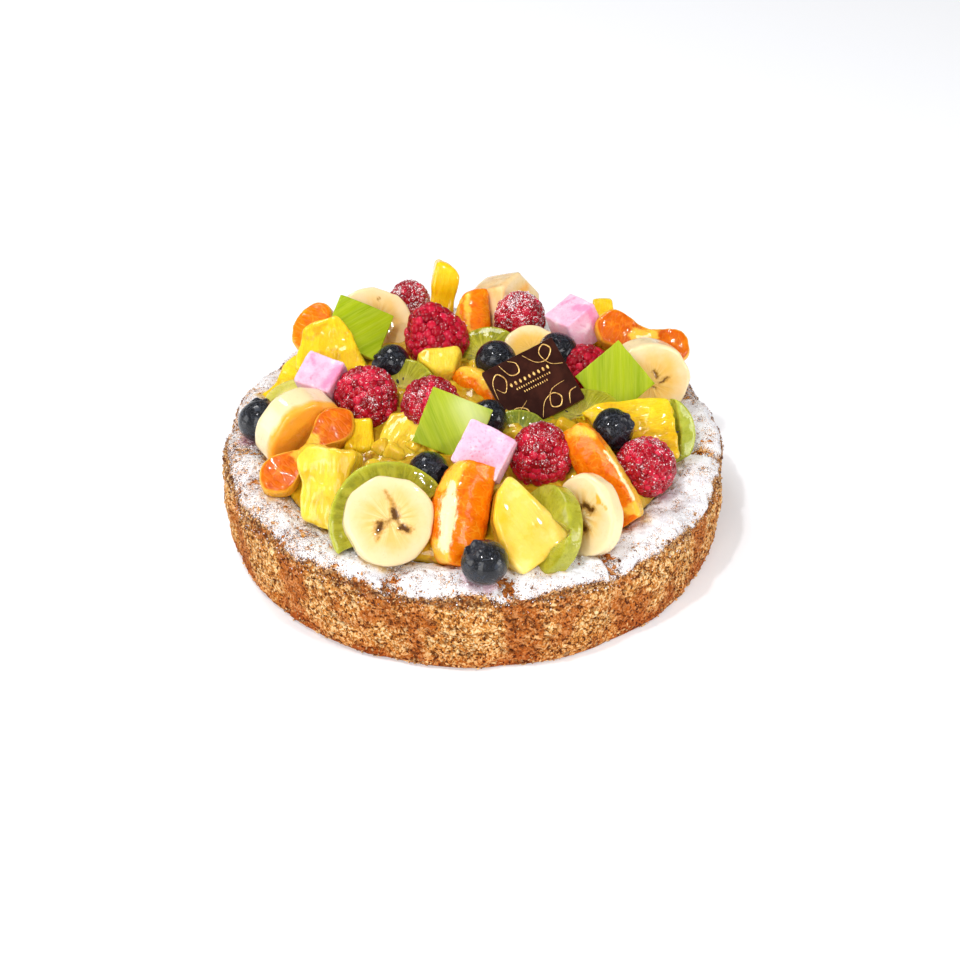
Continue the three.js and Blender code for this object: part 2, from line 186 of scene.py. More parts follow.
@dataclass
class Shape:
    """A surface of triangles, in millimetres, with named values at its points."""
    points: Array
    faces: Array
    marks: dict[str, Array] = field(default_factory=dict)

    def normals(self) -> Array:
        """Unit normal at each point.

        Returns:
            The normals, in the order of the points.
        """
        a, b, c = (self.points[self.faces[:, i]] for i in range(3))
        flat = np.cross(b - a, c - a)
        total = np.zeros_like(self.points)
        for i in range(3):
            np.add.at(total, self.faces[:, i], flat)
        return total / np.maximum(length(total), 1e-12)[:, None]

    def push(self, height: Array) -> "Shape":
        """Moves each point along its normal by a height of its own."""
        self.points = self.points + self.normals() * height[:, None]
        return self

    def scatter(self, count: int, rng: Random, keep: Array) -> tuple[Array, Array]:
        """Random places on the surface.

        Args:
            count: How many places.
            rng: Source of the random draws.
            keep: Chance of each point being chosen.

        Returns:
            The places and the surface normals there.
        """
        corners = self.points[self.faces]
        area = length(np.cross(corners[:, 1] - corners[:, 0], corners[:, 2] - corners[:, 0]))
        area = area * keep[self.faces].mean(axis=1)
        chosen = rng.choice(len(area), size=count, p=area / area.sum())
        share = rng.dirichlet((1, 1, 1), count)
        places = np.einsum("ij,ijk->ik", share, corners[chosen])
        normals = np.einsum("ij,ijk->ik", share, self.normals()[self.faces][chosen])
        return places, unit(normals)

    def placed(self, place: Matrix) -> "Shape":
        """The same shape in the tart's own frame."""
        frame_now = np.array(place)
        return Shape(self.points @ frame_now[:3, :3].T + frame_now[:3, 3], self.faces, self.marks)

    @staticmethod
    def join(shapes: list["Shape"]) -> "Shape":
        """Several shapes as one, with the marks of the first.

        Args:
            shapes: The shapes, all with the marks of the first.

        Returns:
            The joined shape.
        """
        starts = np.cumsum([0] + [len(s.points) for s in shapes[:-1]])
        faces = np.concatenate([s.faces + start for s, start in zip(shapes, starts)])
        names = shapes[0].marks.keys()
        marks = {name: np.concatenate([s.marks[name] for s in shapes]) for name in names}
        return Shape(np.concatenate([s.points for s in shapes]), faces, marks)


def full_turn(count: int) -> Array:
    """Evenly spread angles around a circle."""
    return np.linspace(0, 2 * np.pi, count, endpoint=False)


def circle(turn: Array, radius: Array | float, height: Array | float) -> Array:
    """Places at the given angles, radii and heights around +Z."""
    return np.stack([radius * np.cos(turn), radius * np.sin(turn), height + 0 * turn], axis=-1)


def box(half_x: float, half_y: float) -> Array:
    """The four corners of a rectangle around the middle."""
    return np.array([[-half_x, -half_y], [half_x, -half_y], [half_x, half_y], [-half_x, half_y]])


def skin(rings: Array, rows: int) -> Array:
    """The triangles between rings of points.

    Args:
        rings: The points, rows x columns x 3.
        rows: How many rings are joined to the next one, the last one to the first.

    Returns:
        Three corners for each triangle, counted from the first point.
    """
    count, columns = rings.shape[:2]
    here = np.arange(columns)
    after = (here + 1) % columns
    start = np.arange(rows)[:, None] * columns
    below = (start + columns) % (count * columns)
    quads = np.stack([start + here, below + here, below + after, start + after], axis=-1)
    return np.concatenate([quads[..., [0, 1, 2]].reshape(-1, 3),
        quads[..., [0, 2, 3]].reshape(-1, 3)])


def loft(rings: Array, first: Array, last: Array) -> Shape:
    """Skins rings of points from one pole to the other.

    Args:
        rings: Rows of points, rows x columns x 3, that run anticlockwise seen from the first pole.
        first: The pole before the first ring.
        last: The pole after the last ring.

    Returns:
        A closed shape whose faces look out.
    """
    rows, columns = rings.shape[:2]
    points = np.concatenate([[first], rings.reshape(-1, 3), [last]])
    here = 1 + np.arange(columns)
    after = np.roll(here, -1)
    down = (rows - 1) * columns
    cap = np.stack([np.zeros(columns, int), here, after], axis=1)
    base = np.stack([down + here, np.full(columns, len(points) - 1), down + after], axis=1)
    return Shape(points, np.concatenate([cap, 1 + skin(rings, rows - 1), base]))


def hoop(rings: Array) -> Shape:
    """Skins rings of points whose last ring joins the first, as a closed band."""
    return Shape(rings.reshape(-1, 3), skin(rings, len(rings)))


def ball(columns: int, rows: int) -> Shape:
    """A unit ball with its poles on Z."""
    drop = np.linspace(0, np.pi, rows + 2)[1:-1, None]
    rings = circle(full_turn(columns), np.sin(drop), np.cos(drop))
    return loft(rings, np.array([0, 0, 1.0]), np.array([0, 0, -1.0]))


def distances(line: Array) -> Array:
    """The distance walked from the start of a line to each of its points."""
    return np.concatenate([[0], np.cumsum(length(np.diff(line, axis=0)))])


def resample(outline: Array, count: int) -> Array:
    """Points at even steps along a closed outline.

    Args:
        outline: Corners of the outline, in order.
        count: How many points to return.

    Returns:
        The outline as count points.
    """
    closed = np.concatenate([outline, outline[:1]])
    walked = distances(closed)
    steps = np.linspace(0, walked[-1], count, endpoint=False)
    return np.stack([np.interp(steps, walked, closed[:, i]) for i in range(2)], axis=1)


def soften(outline: Array, passes: int) -> Array:
    """Cuts the corners of a closed outline again and again, so that they come out round.

    Args:
        outline: Corners of the outline.
        passes: How often each corner is cut.

    Returns:
        The softened outline.
    """
    for _ in range(passes):
        after = np.roll(outline, -1, axis=0)
        cut = np.stack([0.8 * outline + 0.2 * after, 0.2 * outline + 0.8 * after], axis=1)
        outline = cut.reshape(-1, 2)
    return outline


def rounded(outline: Array, count: int, passes: int) -> Array:
    """Points at even steps along a closed outline whose corners are worn round.

    Args:
        outline: Corners of the outline, in order.
        count: How many points to return.
        passes: How often each point moves towards its neighbours.

    Returns:
        The outline as count points.
    """
    line = resample(outline, count)
    for _ in range(passes):
        line = (np.roll(line, 1, axis=0) + 2 * line + np.roll(line, -1, axis=0)) / 4
    return resample(line, count)


def smooth_line(corners: list[tuple[float, float]], count: int) -> Array:
    """A smooth open line through a few points.

    Args:
        corners: The points that the line passes through.
        count: How many points to return.

    Returns:
        The line as count points, evenly spread over its stretches.
    """
    knots = np.array([corners[0], *corners, corners[-1]])
    place = np.linspace(0, len(corners) - 1, count)
    stretch = np.minimum(place.astype(int), len(corners) - 2)
    t = (place - stretch)[:, None]
    a, b, c, d = (knots[stretch + i] for i in range(4))
    return 0.5 * (2 * b + (c - a) * t + (2 * a - 5 * b + 4 * c - d) * t ** 2
        + (3 * b - 3 * c + d - a) * t ** 3)


def slab(outline: Array, thickness: float, rounding: float, face_rings: int = 14,
        side_rings: int = 4) -> Shape:
    """A flat piece with rounded edges.

    Args:
        outline: The outline seen from above, anticlockwise, in view of its own middle.
        thickness: Full thickness.
        rounding: Radius of the edges.
        face_rings: Rings of points between the middle of the face and its edge.
        side_rings: Rings of points down the side.

    Returns:
        A closed shape.
    """
    middle = outline.mean(axis=0)
    spokes = outline - middle
    reach = length(spokes)[:, None]
    top = thickness / 2
    quarter = np.linspace(0, np.pi / 2, 4)
    face = [(rounding, share, top) for share in np.linspace(0, 1, face_rings + 1)[1:-1]]
    edge = [(rounding * (1 - math.sin(a)), 1, top - rounding * (1 - math.cos(a))) for a in quarter]
    side = [(0, 1, z) for z in np.linspace(top - rounding, rounding - top, side_rings + 2)[1:-1]]
    under = [(inset, share, -z) for inset, share, z in reversed(edge)]
    base = [(rounding, share, -top) for share in (0.75, 0.45)]
    rings = []
    for inset, share, height in [*face, *edge, *side, *under, *base]:
        flat = middle + spokes * (1 - inset / reach) * share
        rings.append(np.column_stack([flat, np.full(len(flat), height)]))
    return loft(np.array(rings), np.array([*middle, top]), np.array([*middle, -top]))


def tube(path: Array, radius: Array | float, sides: int, flatten: float) -> Shape:
    """A round bar along a path, closed at both ends.

    Args:
        path: Places along the middle of the bar.
        radius: Its radius, or one for each place.
        sides: How many sides it has.
        flatten: Its height as a share of its width.

    Returns:
        The bar as a closed shape.
    """
    along = unit(np.gradient(path, axis=0))
    across = unit(np.cross(along, [0.0, 0.0, 1.0]))
    up = np.cross(across, along)
    width = np.broadcast_to(radius, len(path))[:, None, None]
    turn = full_turn(sides)[None, :, None]
    rings = path[:, None] + width * (np.cos(turn) * across[:, None]
        + flatten * np.sin(turn) * up[:, None])
    return loft(rings, path[0], path[-1])


def turns_to(normals: Array, rng: Random) -> Array:
    """Frames whose +Z looks along each normal, with a random spin.

    Args:
        normals: Unit directions.
        rng: Source of the spins.

    Returns:
        Rotation matrices, one for each normal.
    """
    helper = np.where(np.abs(normals[:, 2:]) < 0.9, [[0.0, 0.0, 1.0]], [[1.0, 0.0, 0.0]])
    x = unit(np.cross(helper, normals))
    y = np.cross(normals, x)
    spin = rng.uniform(0, 2 * np.pi, len(normals))[:, None]
    return np.stack([x * np.cos(spin) + y * np.sin(spin), y * np.cos(spin) - x * np.sin(spin),
        normals], axis=-1)


def stamp(form: Shape, places: Array, turns: Array, sizes: Array,
        tones: Array | None = None) -> Shape:
    """Copies a small form to many places as one shape.

    Args:
        form: The form to copy.
        places: Where each copy goes.
        turns: The rotation of each copy.
        sizes: The size of each copy along its own three axes.
        tones: A shade from 0 to 1 for each copy, kept as the mark "tone".

    Returns:
        All copies as one shape.
    """
    sized = form.points[None] * sizes[:, None]
    points = np.einsum("nij,nvj->nvi", turns, sized) + places[:, None]
    starts = np.arange(len(places))[:, None, None] * len(form.points)
    shape = Shape(points.reshape(-1, 3), (form.faces[None] + starts).reshape(-1, 3))
    shades = np.zeros(len(places)) if tones is None else tones
    shape.marks["tone"] = np.repeat(shades, len(form.points))
    return shape


def pebble(rng: Random, columns: int, rows: int) -> Shape:
    """A small uneven grain of about unit radius."""
    form = ball(columns, rows)
    form.points *= rng.uniform(0.72, 1.2, (len(form.points), 1))
    return form


# ---------------------------------------- places


@dataclass(frozen=True)
class Pose:
    """How a piece lies, in degrees.

    turn is the way its face looks, from the front towards the right, lean is how far it looks up,
    and roll spins the piece on its face.
    """
    turn: float = 0
    lean: float = 90
    roll: float = 0

    def rotation(self) -> Array:
        """The piece's own axes as the columns of a matrix.

        Returns:
            A matrix of three by three.
        """
        turn = Matrix.Rotation(math.radians(self.turn), 3, "Z")
        tip = Matrix.Rotation(math.radians(90 - self.lean), 3, "X")
        roll = Matrix.Rotation(math.radians(self.roll), 3, "Z")
        return np.array(turn @ tip @ roll)


def node_points(node: str) -> Array:
    """The corners of a CAD solid, in millimetres.

    Args:
        node: The CAD solid.

    Returns:
        Its corners.
    """
    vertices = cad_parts[node].data.vertices
    points = np.empty(len(vertices) * 3)
    vertices.foreach_get("co", points)
    return points.reshape(-1, 3) / MM


def seat(node: str, pose: Pose, low: tuple[float, ...], high: tuple[float, ...],
        grip: Grip) -> Matrix:
    """Finds where a piece sits from the CAD solid that it stands for.

    Args:
        node: The CAD solid.
        pose: How the piece lies.
        low: Lowest corner of the whole piece along its own axes.
        high: Highest corner of the whole piece along its own axes.
        grip: For each of its own axes, the end of the solid that its neighbours left whole.

    Returns:
        The piece's frame in millimetres.
    """
    rotation = pose.rotation()
    own = node_points(node) @ rotation
    first, last = own.min(axis=0), own.max(axis=0)
    ways = {Side.LOW: first - np.array(low), Side.HIGH: last - np.array(high),
        Side.MIDDLE: (first + last) / 2 - (np.array(low) + np.array(high)) / 2}
    place = np.array([ways[side][axis] for axis, side in enumerate(grip)])
    return Matrix.Translation(rotation @ place) @ Matrix(rotation).to_4x4()


def write_mesh(name: str, shape: Shape, place: Matrix | None = None) -> bpy.types.Object:
    """Turns a shape into a smooth Blender mesh object.

    Args:
        name: Name of the object.
        shape: The shape, in millimetres, in the piece's own axes.
        place: The piece's frame in millimetres, or None for the tart's own.

    Returns:
        The object, linked to the scene.
    """
    mesh = bpy.data.meshes.new(name)
    mesh.vertices.add(len(shape.points))
    mesh.vertices.foreach_set("co", (shape.points * MM).astype(np.float32).ravel())
    mesh.loops.add(shape.faces.size)
    mesh.loops.foreach_set("vertex_index", shape.faces.astype(np.int32).ravel())
    mesh.polygons.add(len(shape.faces))
    mesh.polygons.foreach_set("loop_start", np.arange(0, shape.faces.size, 3, dtype=np.int32))
    mesh.update(calc_edges=True)
    mesh.polygons.foreach_set("use_smooth", np.ones(len(shape.faces), bool))
    for mark, values in shape.marks.items():
        kind = "FLOAT" if values.ndim == 1 else "FLOAT_VECTOR"
        layer = mesh.attributes.new(mark, kind, "POINT")
        key = "value" if values.ndim == 1 else "vector"
        layer.data.foreach_set(key, values.astype(np.float32).ravel())
    piece = bpy.data.objects.new(name, mesh)
    bpy.context.scene.collection.objects.link(piece)
    if place is not None:
        metres = place.copy()
        metres.translation = metres.translation * MM
        piece.matrix_world = metres
    return piece


def read_mesh(mesh: bpy.types.Mesh) -> Shape:
    """Reads the triangles of a Blender mesh back as a shape in metres.

    Args:
        mesh: The mesh.

    Returns:
        The shape, without marks.
    """
    mesh.calc_loop_triangles()
    points = np.empty(len(mesh.vertices) * 3)
    mesh.vertices.foreach_get("co", points)
    faces = np.empty(len(mesh.loop_triangles) * 3, dtype=np.int32)
    mesh.loop_triangles.foreach_get("vertices", faces)
    return Shape(points.reshape(-1, 3), faces.reshape(-1, 3).astype(int))


def largest_part(shape: Shape) -> Shape:
    """The largest connected part of a shape.

    Args:
        shape: A shape of one or more parts.

    Returns:
        The part with the most triangles.
    """
    label = np.arange(len(shape.points))
    while True:
        low = label[shape.faces].min(axis=1)
        fresh = label.copy()
        for i in range(3):
            np.minimum.at(fresh, shape.faces[:, i], low)
        fresh = fresh[fresh]
        if np.array_equal(fresh, label):
            break
        label = fresh
    groups, counts = np.unique(label[shape.faces[:, 0]], return_counts=True)
    faces = shape.faces[label[shape.faces[:, 0]] == groups[counts.argmax()]]
    used, packed = np.unique(faces, return_inverse=True)
    return Shape(shape.points[used], packed.reshape(-1, 3))


def trim(shape: Shape, place: Matrix, nodes: tuple[str, ...],
        prism: tuple[Shape, Matrix] | None = None) -> Shape:
    """Cuts a soft piece back where firmer neighbours press into it.

    Args:
        shape: The piece's surface in its own axes.
        place: The piece's frame in millimetres.
        nodes: The CAD solids of the neighbours.
        prism: One more shape that cuts, with its frame in millimetres, or None.

    Returns:
        The largest part that is left, without marks.
    """
    body = write_mesh("trim_body", Shape(shape.points, shape.faces), place)
    tools = [write_mesh("trim_tool", *prism)] if prism else []
    for node in nodes:
        tool = bpy.data.objects.new("trim_tool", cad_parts[node].data)
        bpy.context.scene.collection.objects.link(tool)
        tools.append(tool)
    for tool in tools:
        cut = body.modifiers.new("cut", "BOOLEAN")
        cut.object = tool
        cut.operation = "DIFFERENCE"
        cut.solver = "EXACT"
    bpy.context.view_layer.update()
    graph = bpy.context.evaluated_depsgraph_get()
    result = bpy.data.meshes.new_from_object(body.evaluated_get(graph))
    left = read_mesh(result)
    left.points /= MM
    for item in [*tools, body]:
        bpy.data.objects.remove(item)
    return largest_part(left)


# ---------------------------------------- node sheets


class Sheet:
    """Short calls for building one node tree."""

    def __init__(self, tree: Tree) -> None:
        """Works on the given tree."""
        self.tree = tree

    def add(self, kind: str, settings: dict | None = None, **inputs: object) -> bpy.types.Node:
        """Adds a node.

        Args:
            kind: The node's Blender type.
            settings: Properties to set on the node.
            **inputs: Values or sockets for its inputs, with _ for each space in a name.

        Returns:
            The new node.
        """
        node = self.tree.nodes.new(kind)
        for key, value in (settings or {}).items():
            setattr(node, key, value)
        for key, value in inputs.items():
            self.feed(node.inputs[key.replace("_", " ")], value)
        return node

    def feed(self, socket: Socket, value: object) -> None:
        """Links a socket to an input, or sets the input's own value.

        Args:
            socket: The input.
            value: A socket, number, vector or colour.
        """
        if isinstance(value, Socket):
            self.tree.links.new(value, socket)
        elif socket.type == "RGBA" and len(value) == 3:
            socket.default_value = (*value, 1)
        else:
            socket.default_value = value

    def step(self, kind: str, operation: str, *values: object) -> bpy.types.Node:
        """One step of arithmetic, on numbers or on vectors.

        Args:
            kind: The node's Blender type.
            operation: What it does.
            *values: Its inputs, in order.

        Returns:
            The new node.
        """
        node = self.add(kind, {"operation": operation})
        for socket, value in zip(node.inputs, values):
            self.feed(socket, value)
        return node

    def math(self, operation: str, *values: object) -> Socket:
        """One step of arithmetic on up to three numbers."""
        return self.step("ShaderNodeMath", operation, *values).outputs[0]

    def vector(self, operation: str, *values: object) -> Socket:
        """One step of arithmetic on up to three vectors."""
        return self.step("ShaderNodeVectorMath", operation, *values).outputs[0]

    def times(self, first: object, second: object, plus: object = None) -> Socket:
        """The product of two numbers, with a third one added to it or not."""
        if plus is None:
            return self.math("MULTIPLY", first, second)
        return self.math("MULTIPLY_ADD", first, second, plus)

    def plus(self, first: object, second: object) -> Socket:
        """The sum of two numbers."""
        return self.math("ADD", first, second)

    def minus(self, first: object, second: object) -> Socket:
        """The difference of two numbers."""
        return self.math("SUBTRACT", first, second)

    def per(self, size: object) -> object:
        """The scale of a texture whose features have a size in millimetres."""
        return self.math("DIVIDE", 1.0, size) if isinstance(size, Socket) else 1 / size

    def mix(self, share: object, first: object, second: object,
            blend: str = "MIX") -> Socket:
        """Blends two colours.

        Args:
            share: How much of the second colour shows.
            first: The first colour.
            second: The second colour.
            blend: Blender's way of blending.

        Returns:
            The blended colour.
        """
        node = self.add("ShaderNodeMix", {"data_type": "RGBA", "blend_type": blend})
        for index, value in ((0, share), (6, first), (7, second)):
            self.feed(node.inputs[index], value)
        return node.outputs[2]

    def rise(self, value: object, low: float, high: float, start: object = 0.0,
             end: object = 1.0) -> Socket:
        """Rises smoothly from start at low to end at high."""
        return self.add("ShaderNodeMapRange", {"interpolation_type": "SMOOTHSTEP"}, Value=value,
                        From_Min=low, From_Max=high, To_Min=start, To_Max=end).outputs[0]

    def stretched(self, stretch: Colour = (1, 1, 1)) -> Socket:
        """The piece's own coordinates in millimetres, scaled along each axis."""
        own = self.add("ShaderNodeTexCoord").outputs["Object"]
        return self.vector("MULTIPLY", own, tuple(share / MM for share in stretch))

    def noise(self, size: object, detail: float = 2, rough: float = 0.5, twist: float = 0.0,
              at: object = None) -> Socket:
        """Soft noise from 0 to 1 with features of a size in millimetres."""
        where = self.own if at is None else at
        return self.add("ShaderNodeTexNoise", None, Vector=where, Scale=self.per(size),
                        Detail=detail, Roughness=rough, Distortion=twist).outputs[0]

    def cracks(self, vector: object, size: object, feature: str = "DISTANCE_TO_EDGE",
               output: str = "Distance") -> Socket:
        """Cellular noise with cells of a size in millimetres."""
        return self.add("ShaderNodeTexVoronoi", {"feature": feature}, Vector=vector,
                        Scale=self.per(size)).outputs[output]

    def parts(self, vector: object) -> bpy.types.NodeOutputs:
        """The three numbers of a vector."""
        return self.add("ShaderNodeSeparateXYZ", None, Vector=vector).outputs

    def mark(self, name: str, output: str = "Fac") -> Socket:
        """A named value that the mesh holds."""
        return self.add("ShaderNodeAttribute", {"attribute_name": name}).outputs[output]

    def bump(self, height: object, depth: float, strength: float = 1.0,
             normal: object = None) -> Socket:
        """A normal tilted by a height whose full range is a depth in millimetres."""
        below = {} if normal is None else {"Normal": normal}
        return self.add("ShaderNodeBump", None, Height=height, Distance=depth * MM,
                        Strength=strength, **below).outputs[0]

    def effect(self, name: str, **inputs: object) -> bpy.types.NodeOutputs:
        """Places a shared effect with values of its own."""
        return self.add("ShaderNodeGroup", {"node_tree": Effects.get(name)}, **inputs).outputs


class Surface(Sheet):
    """The nodes of one material around its shader."""

    def __init__(self, tree: Tree) -> None:
        """Works on the material's own shader."""
        super().__init__(tree)
        self.shader = tree.nodes["Principled BSDF"].inputs

    @cached_property
    def own(self) -> Socket:
        """The piece's own coordinates in millimetres."""
        return self.stretched()

    def put(self, **values: object) -> None:
        """Feeds the shader's inputs, with _ for each space in a name."""
        for key, value in values.items():
            self.feed(self.shader[key.replace("_", " ")], value)

    def flesh(self, weight: float, radius: Colour, depth: float) -> None:
        """Lets light sink a depth in millimetres into flesh, cream or sugar."""
        self.put(Subsurface_Weight=weight, Subsurface_Radius=radius, Subsurface_Scale=depth * MM)

    def coat(self, roughness: float) -> None:
        """Sets the glaze's own gloss."""
        self.put(Coat_Roughness=roughness, Coat_IOR=1.4)

    def glaze(self, swell: float, relief: object = None, depth: float = 0.3,
              gloss: float = 1.0) -> None:
        """Covers a piece with the uneven film of glaze that all the fruit has.

        Args:
            swell: How strongly the film swells.
            relief: Height of the flesh below it, or None.
            depth: Depth of that relief in millimetres.
            gloss: How much of the film lies on the piece.
        """
        film = self.effect("wet_film", Vector=self.own, Swell=swell)
        under = None if relief is None else self.bump(relief, depth)
        self.put(Normal=self.bump(film["Height"], 0.35, 0.6, under),
                 Coat_Weight=self.times(film["Coat"], gloss), Roughness=film["Roughness"],
                 Specular_IOR_Level=0.1)


class Group(Sheet):
    """The nodes of one shared effect."""

    def __init__(self, name: str, **inputs: object) -> None:
        """Starts the effect: an input is a number, a vector of three or a colour of four.

        Args:
            name: Name of the effect.
            **inputs: Its inputs and what they are when not given.
        """
        super().__init__(bpy.data.node_groups.new(name, "ShaderNodeTree"))
        for key, value in inputs.items():
            size = 1 if isinstance(value, float) else len(value)
            kind = {1: "NodeSocketFloat", 3: "NodeSocketVector", 4: "NodeSocketColor"}[size]
            made = self.tree.interface.new_socket(key, in_out="INPUT", socket_type=kind)
            made.default_value = value
        self.given = self.add("NodeGroupInput").outputs
        self.own = self.given[0]

    def give(self, **outputs: Socket) -> Tree:
        """Ends the effect with its named outputs.

        Args:
            **outputs: What the effect puts out.

        Returns:
            The finished effect.
        """
        kinds = {"VALUE": "NodeSocketFloat", "RGBA": "NodeSocketColor"}
        for key, value in outputs.items():
            self.tree.interface.new_socket(key, in_out="OUTPUT", socket_type=kinds[value.type])
        self.add("NodeGroupOutput", None, **outputs)
        return self.tree


class Effects:
    """Shader node groups that several finishes share, each built once."""

    made: ClassVar[dict[str, Tree]] = {}

    @classmethod
    def get(cls, name: str) -> Tree:
        """The named effect, built on first use."""
        if name not in cls.made:
            cls.made[name] = getattr(cls, name)()
        return cls.made[name]

    @staticmethod
    def mottle() -> Tree:
        """Uneven colour between three tones: broad clouds with fine flecks.

        Returns:
            The effect.
        """
        group = Group("mottle", Vector=PLACE, Size=4.0, Dark=WHITE, Body=WHITE, Pale=WHITE)
        given = group.given
        cloud = group.noise(given["Size"], 4.0, 0.6)
        body = group.mix(group.rise(cloud, 0.3, 0.5), given["Dark"], given["Body"])
        colour = group.mix(group.rise(cloud, 0.52, 0.72), body, given["Pale"])
        return group.give(Color=colour, Cloud=cloud)

    @staticmethod
    def grit() -> Tree:
        """Packed grains: a shade for each of them, and the distance to the gap between them.

        Returns:
            The effect.
        """
        group = Group("grit", Vector=PLACE, Size=1.0)
        given = group.given
        cell = group.cracks(given["Vector"], given["Size"], "F1", "Color")
        shade = group.add("ShaderNodeSeparateColor", None, Color=cell).outputs[0]
        return group.give(Shade=shade, Gap=group.cracks(given["Vector"], given["Size"]))

    @staticmethod
    def wet_film() -> Tree:
        """A thin uneven film of glaze: soft swells for the height, and where it lies thick.

        Returns:
            The effect.
        """
        group = Group("wet_film", Vector=PLACE, Swell=0.5)
        given = group.given
        broad = group.noise(4.5, 1.0)
        fine = group.noise(1.3, 2.0)
        return group.give(Height=group.times(group.times(fine, 0.45, plus=broad), given["Swell"]),
                          Coat=group.rise(broad, 0.25, 0.6, 0.4, 1.0),
                          Roughness=group.rise(fine, 0.3, 0.75, 0.25, 0.45))

    @staticmethod
    def dusting() -> Tree:
        """Icing sugar: white where a face looks up, broken into fine specks.

        Returns:
            The effect.
        """
        group = Group("dusting", Vector=PLACE, Color=WHITE, Amount=0.3, Grain=0.45)
        given = group.given
        speck = group.noise(given["Grain"], 2.0, 0.6)
        clump = group.noise(5.0, 2.0)
        upward = group.parts(group.add("ShaderNodeNewGeometry").outputs["Normal"])[2]
        reach = group.times(group.rise(upward, -0.25, 0.9, 0.15, 1.0), given["Amount"])
        total = group.plus(group.times(clump, 0.45, plus=speck), group.times(reach, 0.5))
        mask = group.rise(total, 0.86, 1.02)
        return group.give(Color=group.mix(mask, given["Color"], (0.93, 0.9, 0.92)), Mask=mask)

    @staticmethod
    def streaks() -> Tree:
        """Fine streaks that follow one direction, for fibres, brush marks and rays.

        Returns:
            The effect.
        """
        group = Group("streaks", Vector=PLACE, Size=1.0, Stretch=(1.0, 0.1, 1.0))
        given = group.given
        drawn = group.vector("MULTIPLY", given["Vector"], given["Stretch"])
        line = group.noise(given["Size"], 3.0, 0.65, 0.2, drawn)
        finer = group.noise(group.times(given["Size"], 1 / 3.1), 2.0, at=drawn)
        return group.give(Mask=group.rise(line, 0.38, 0.64), Fine=group.rise(finer, 0.35, 0.7))

    @staticmethod
    def rays() -> Tree:
        """Lines from the middle of a round slice, whose plan is given, to its edge.

        Returns:
            The effect.
        """
        group = Group("rays", Plan=PLACE, Count=9.0, Seed=0.0)
        given = group.given
        plan = group.parts(given["Plan"])
        flat = group.add("ShaderNodeCombineXYZ", None, X=plan[0], Y=plan[1]).outputs[0]
        radius = group.step("ShaderNodeVectorMath", "LENGTH", flat).outputs["Value"]
        aim = group.parts(group.vector("NORMALIZE", flat))
        spot = group.add("ShaderNodeCombineXYZ", None, X=aim[0], Y=aim[1],
                         Z=group.times(radius, 0.1, plus=given["Seed"])).outputs[0]
        line = group.add("ShaderNodeTexNoise", None, Vector=spot, Scale=given["Count"],
                         Detail=2.0, Roughness=0.6).outputs[0]
        return group.give(Mask=group.rise(line, 0.4, 0.62), Radius=radius)


@dataclass(frozen=True)
class Finish:
    """A material: constants for its shader, and nodes for what changes over the surface."""

    name: str
    made: ClassVar[dict[str, bpy.types.Material]] = {}

    def material(self) -> bpy.types.Material:
        """The Blender material, built on first use.

        Returns:
            The material.
        """
        if self.name not in self.made:
            material = self.made[self.name] = bpy.data.materials.new(self.name)
            material.use_nodes = True
            self.paint(Surface(material.node_tree))
        return self.made[self.name]

    def paint(self, sheet: Surface) -> None:
        """Sets the shader's inputs."""
        raise NotImplementedError


# ---------------------------------------- finishes


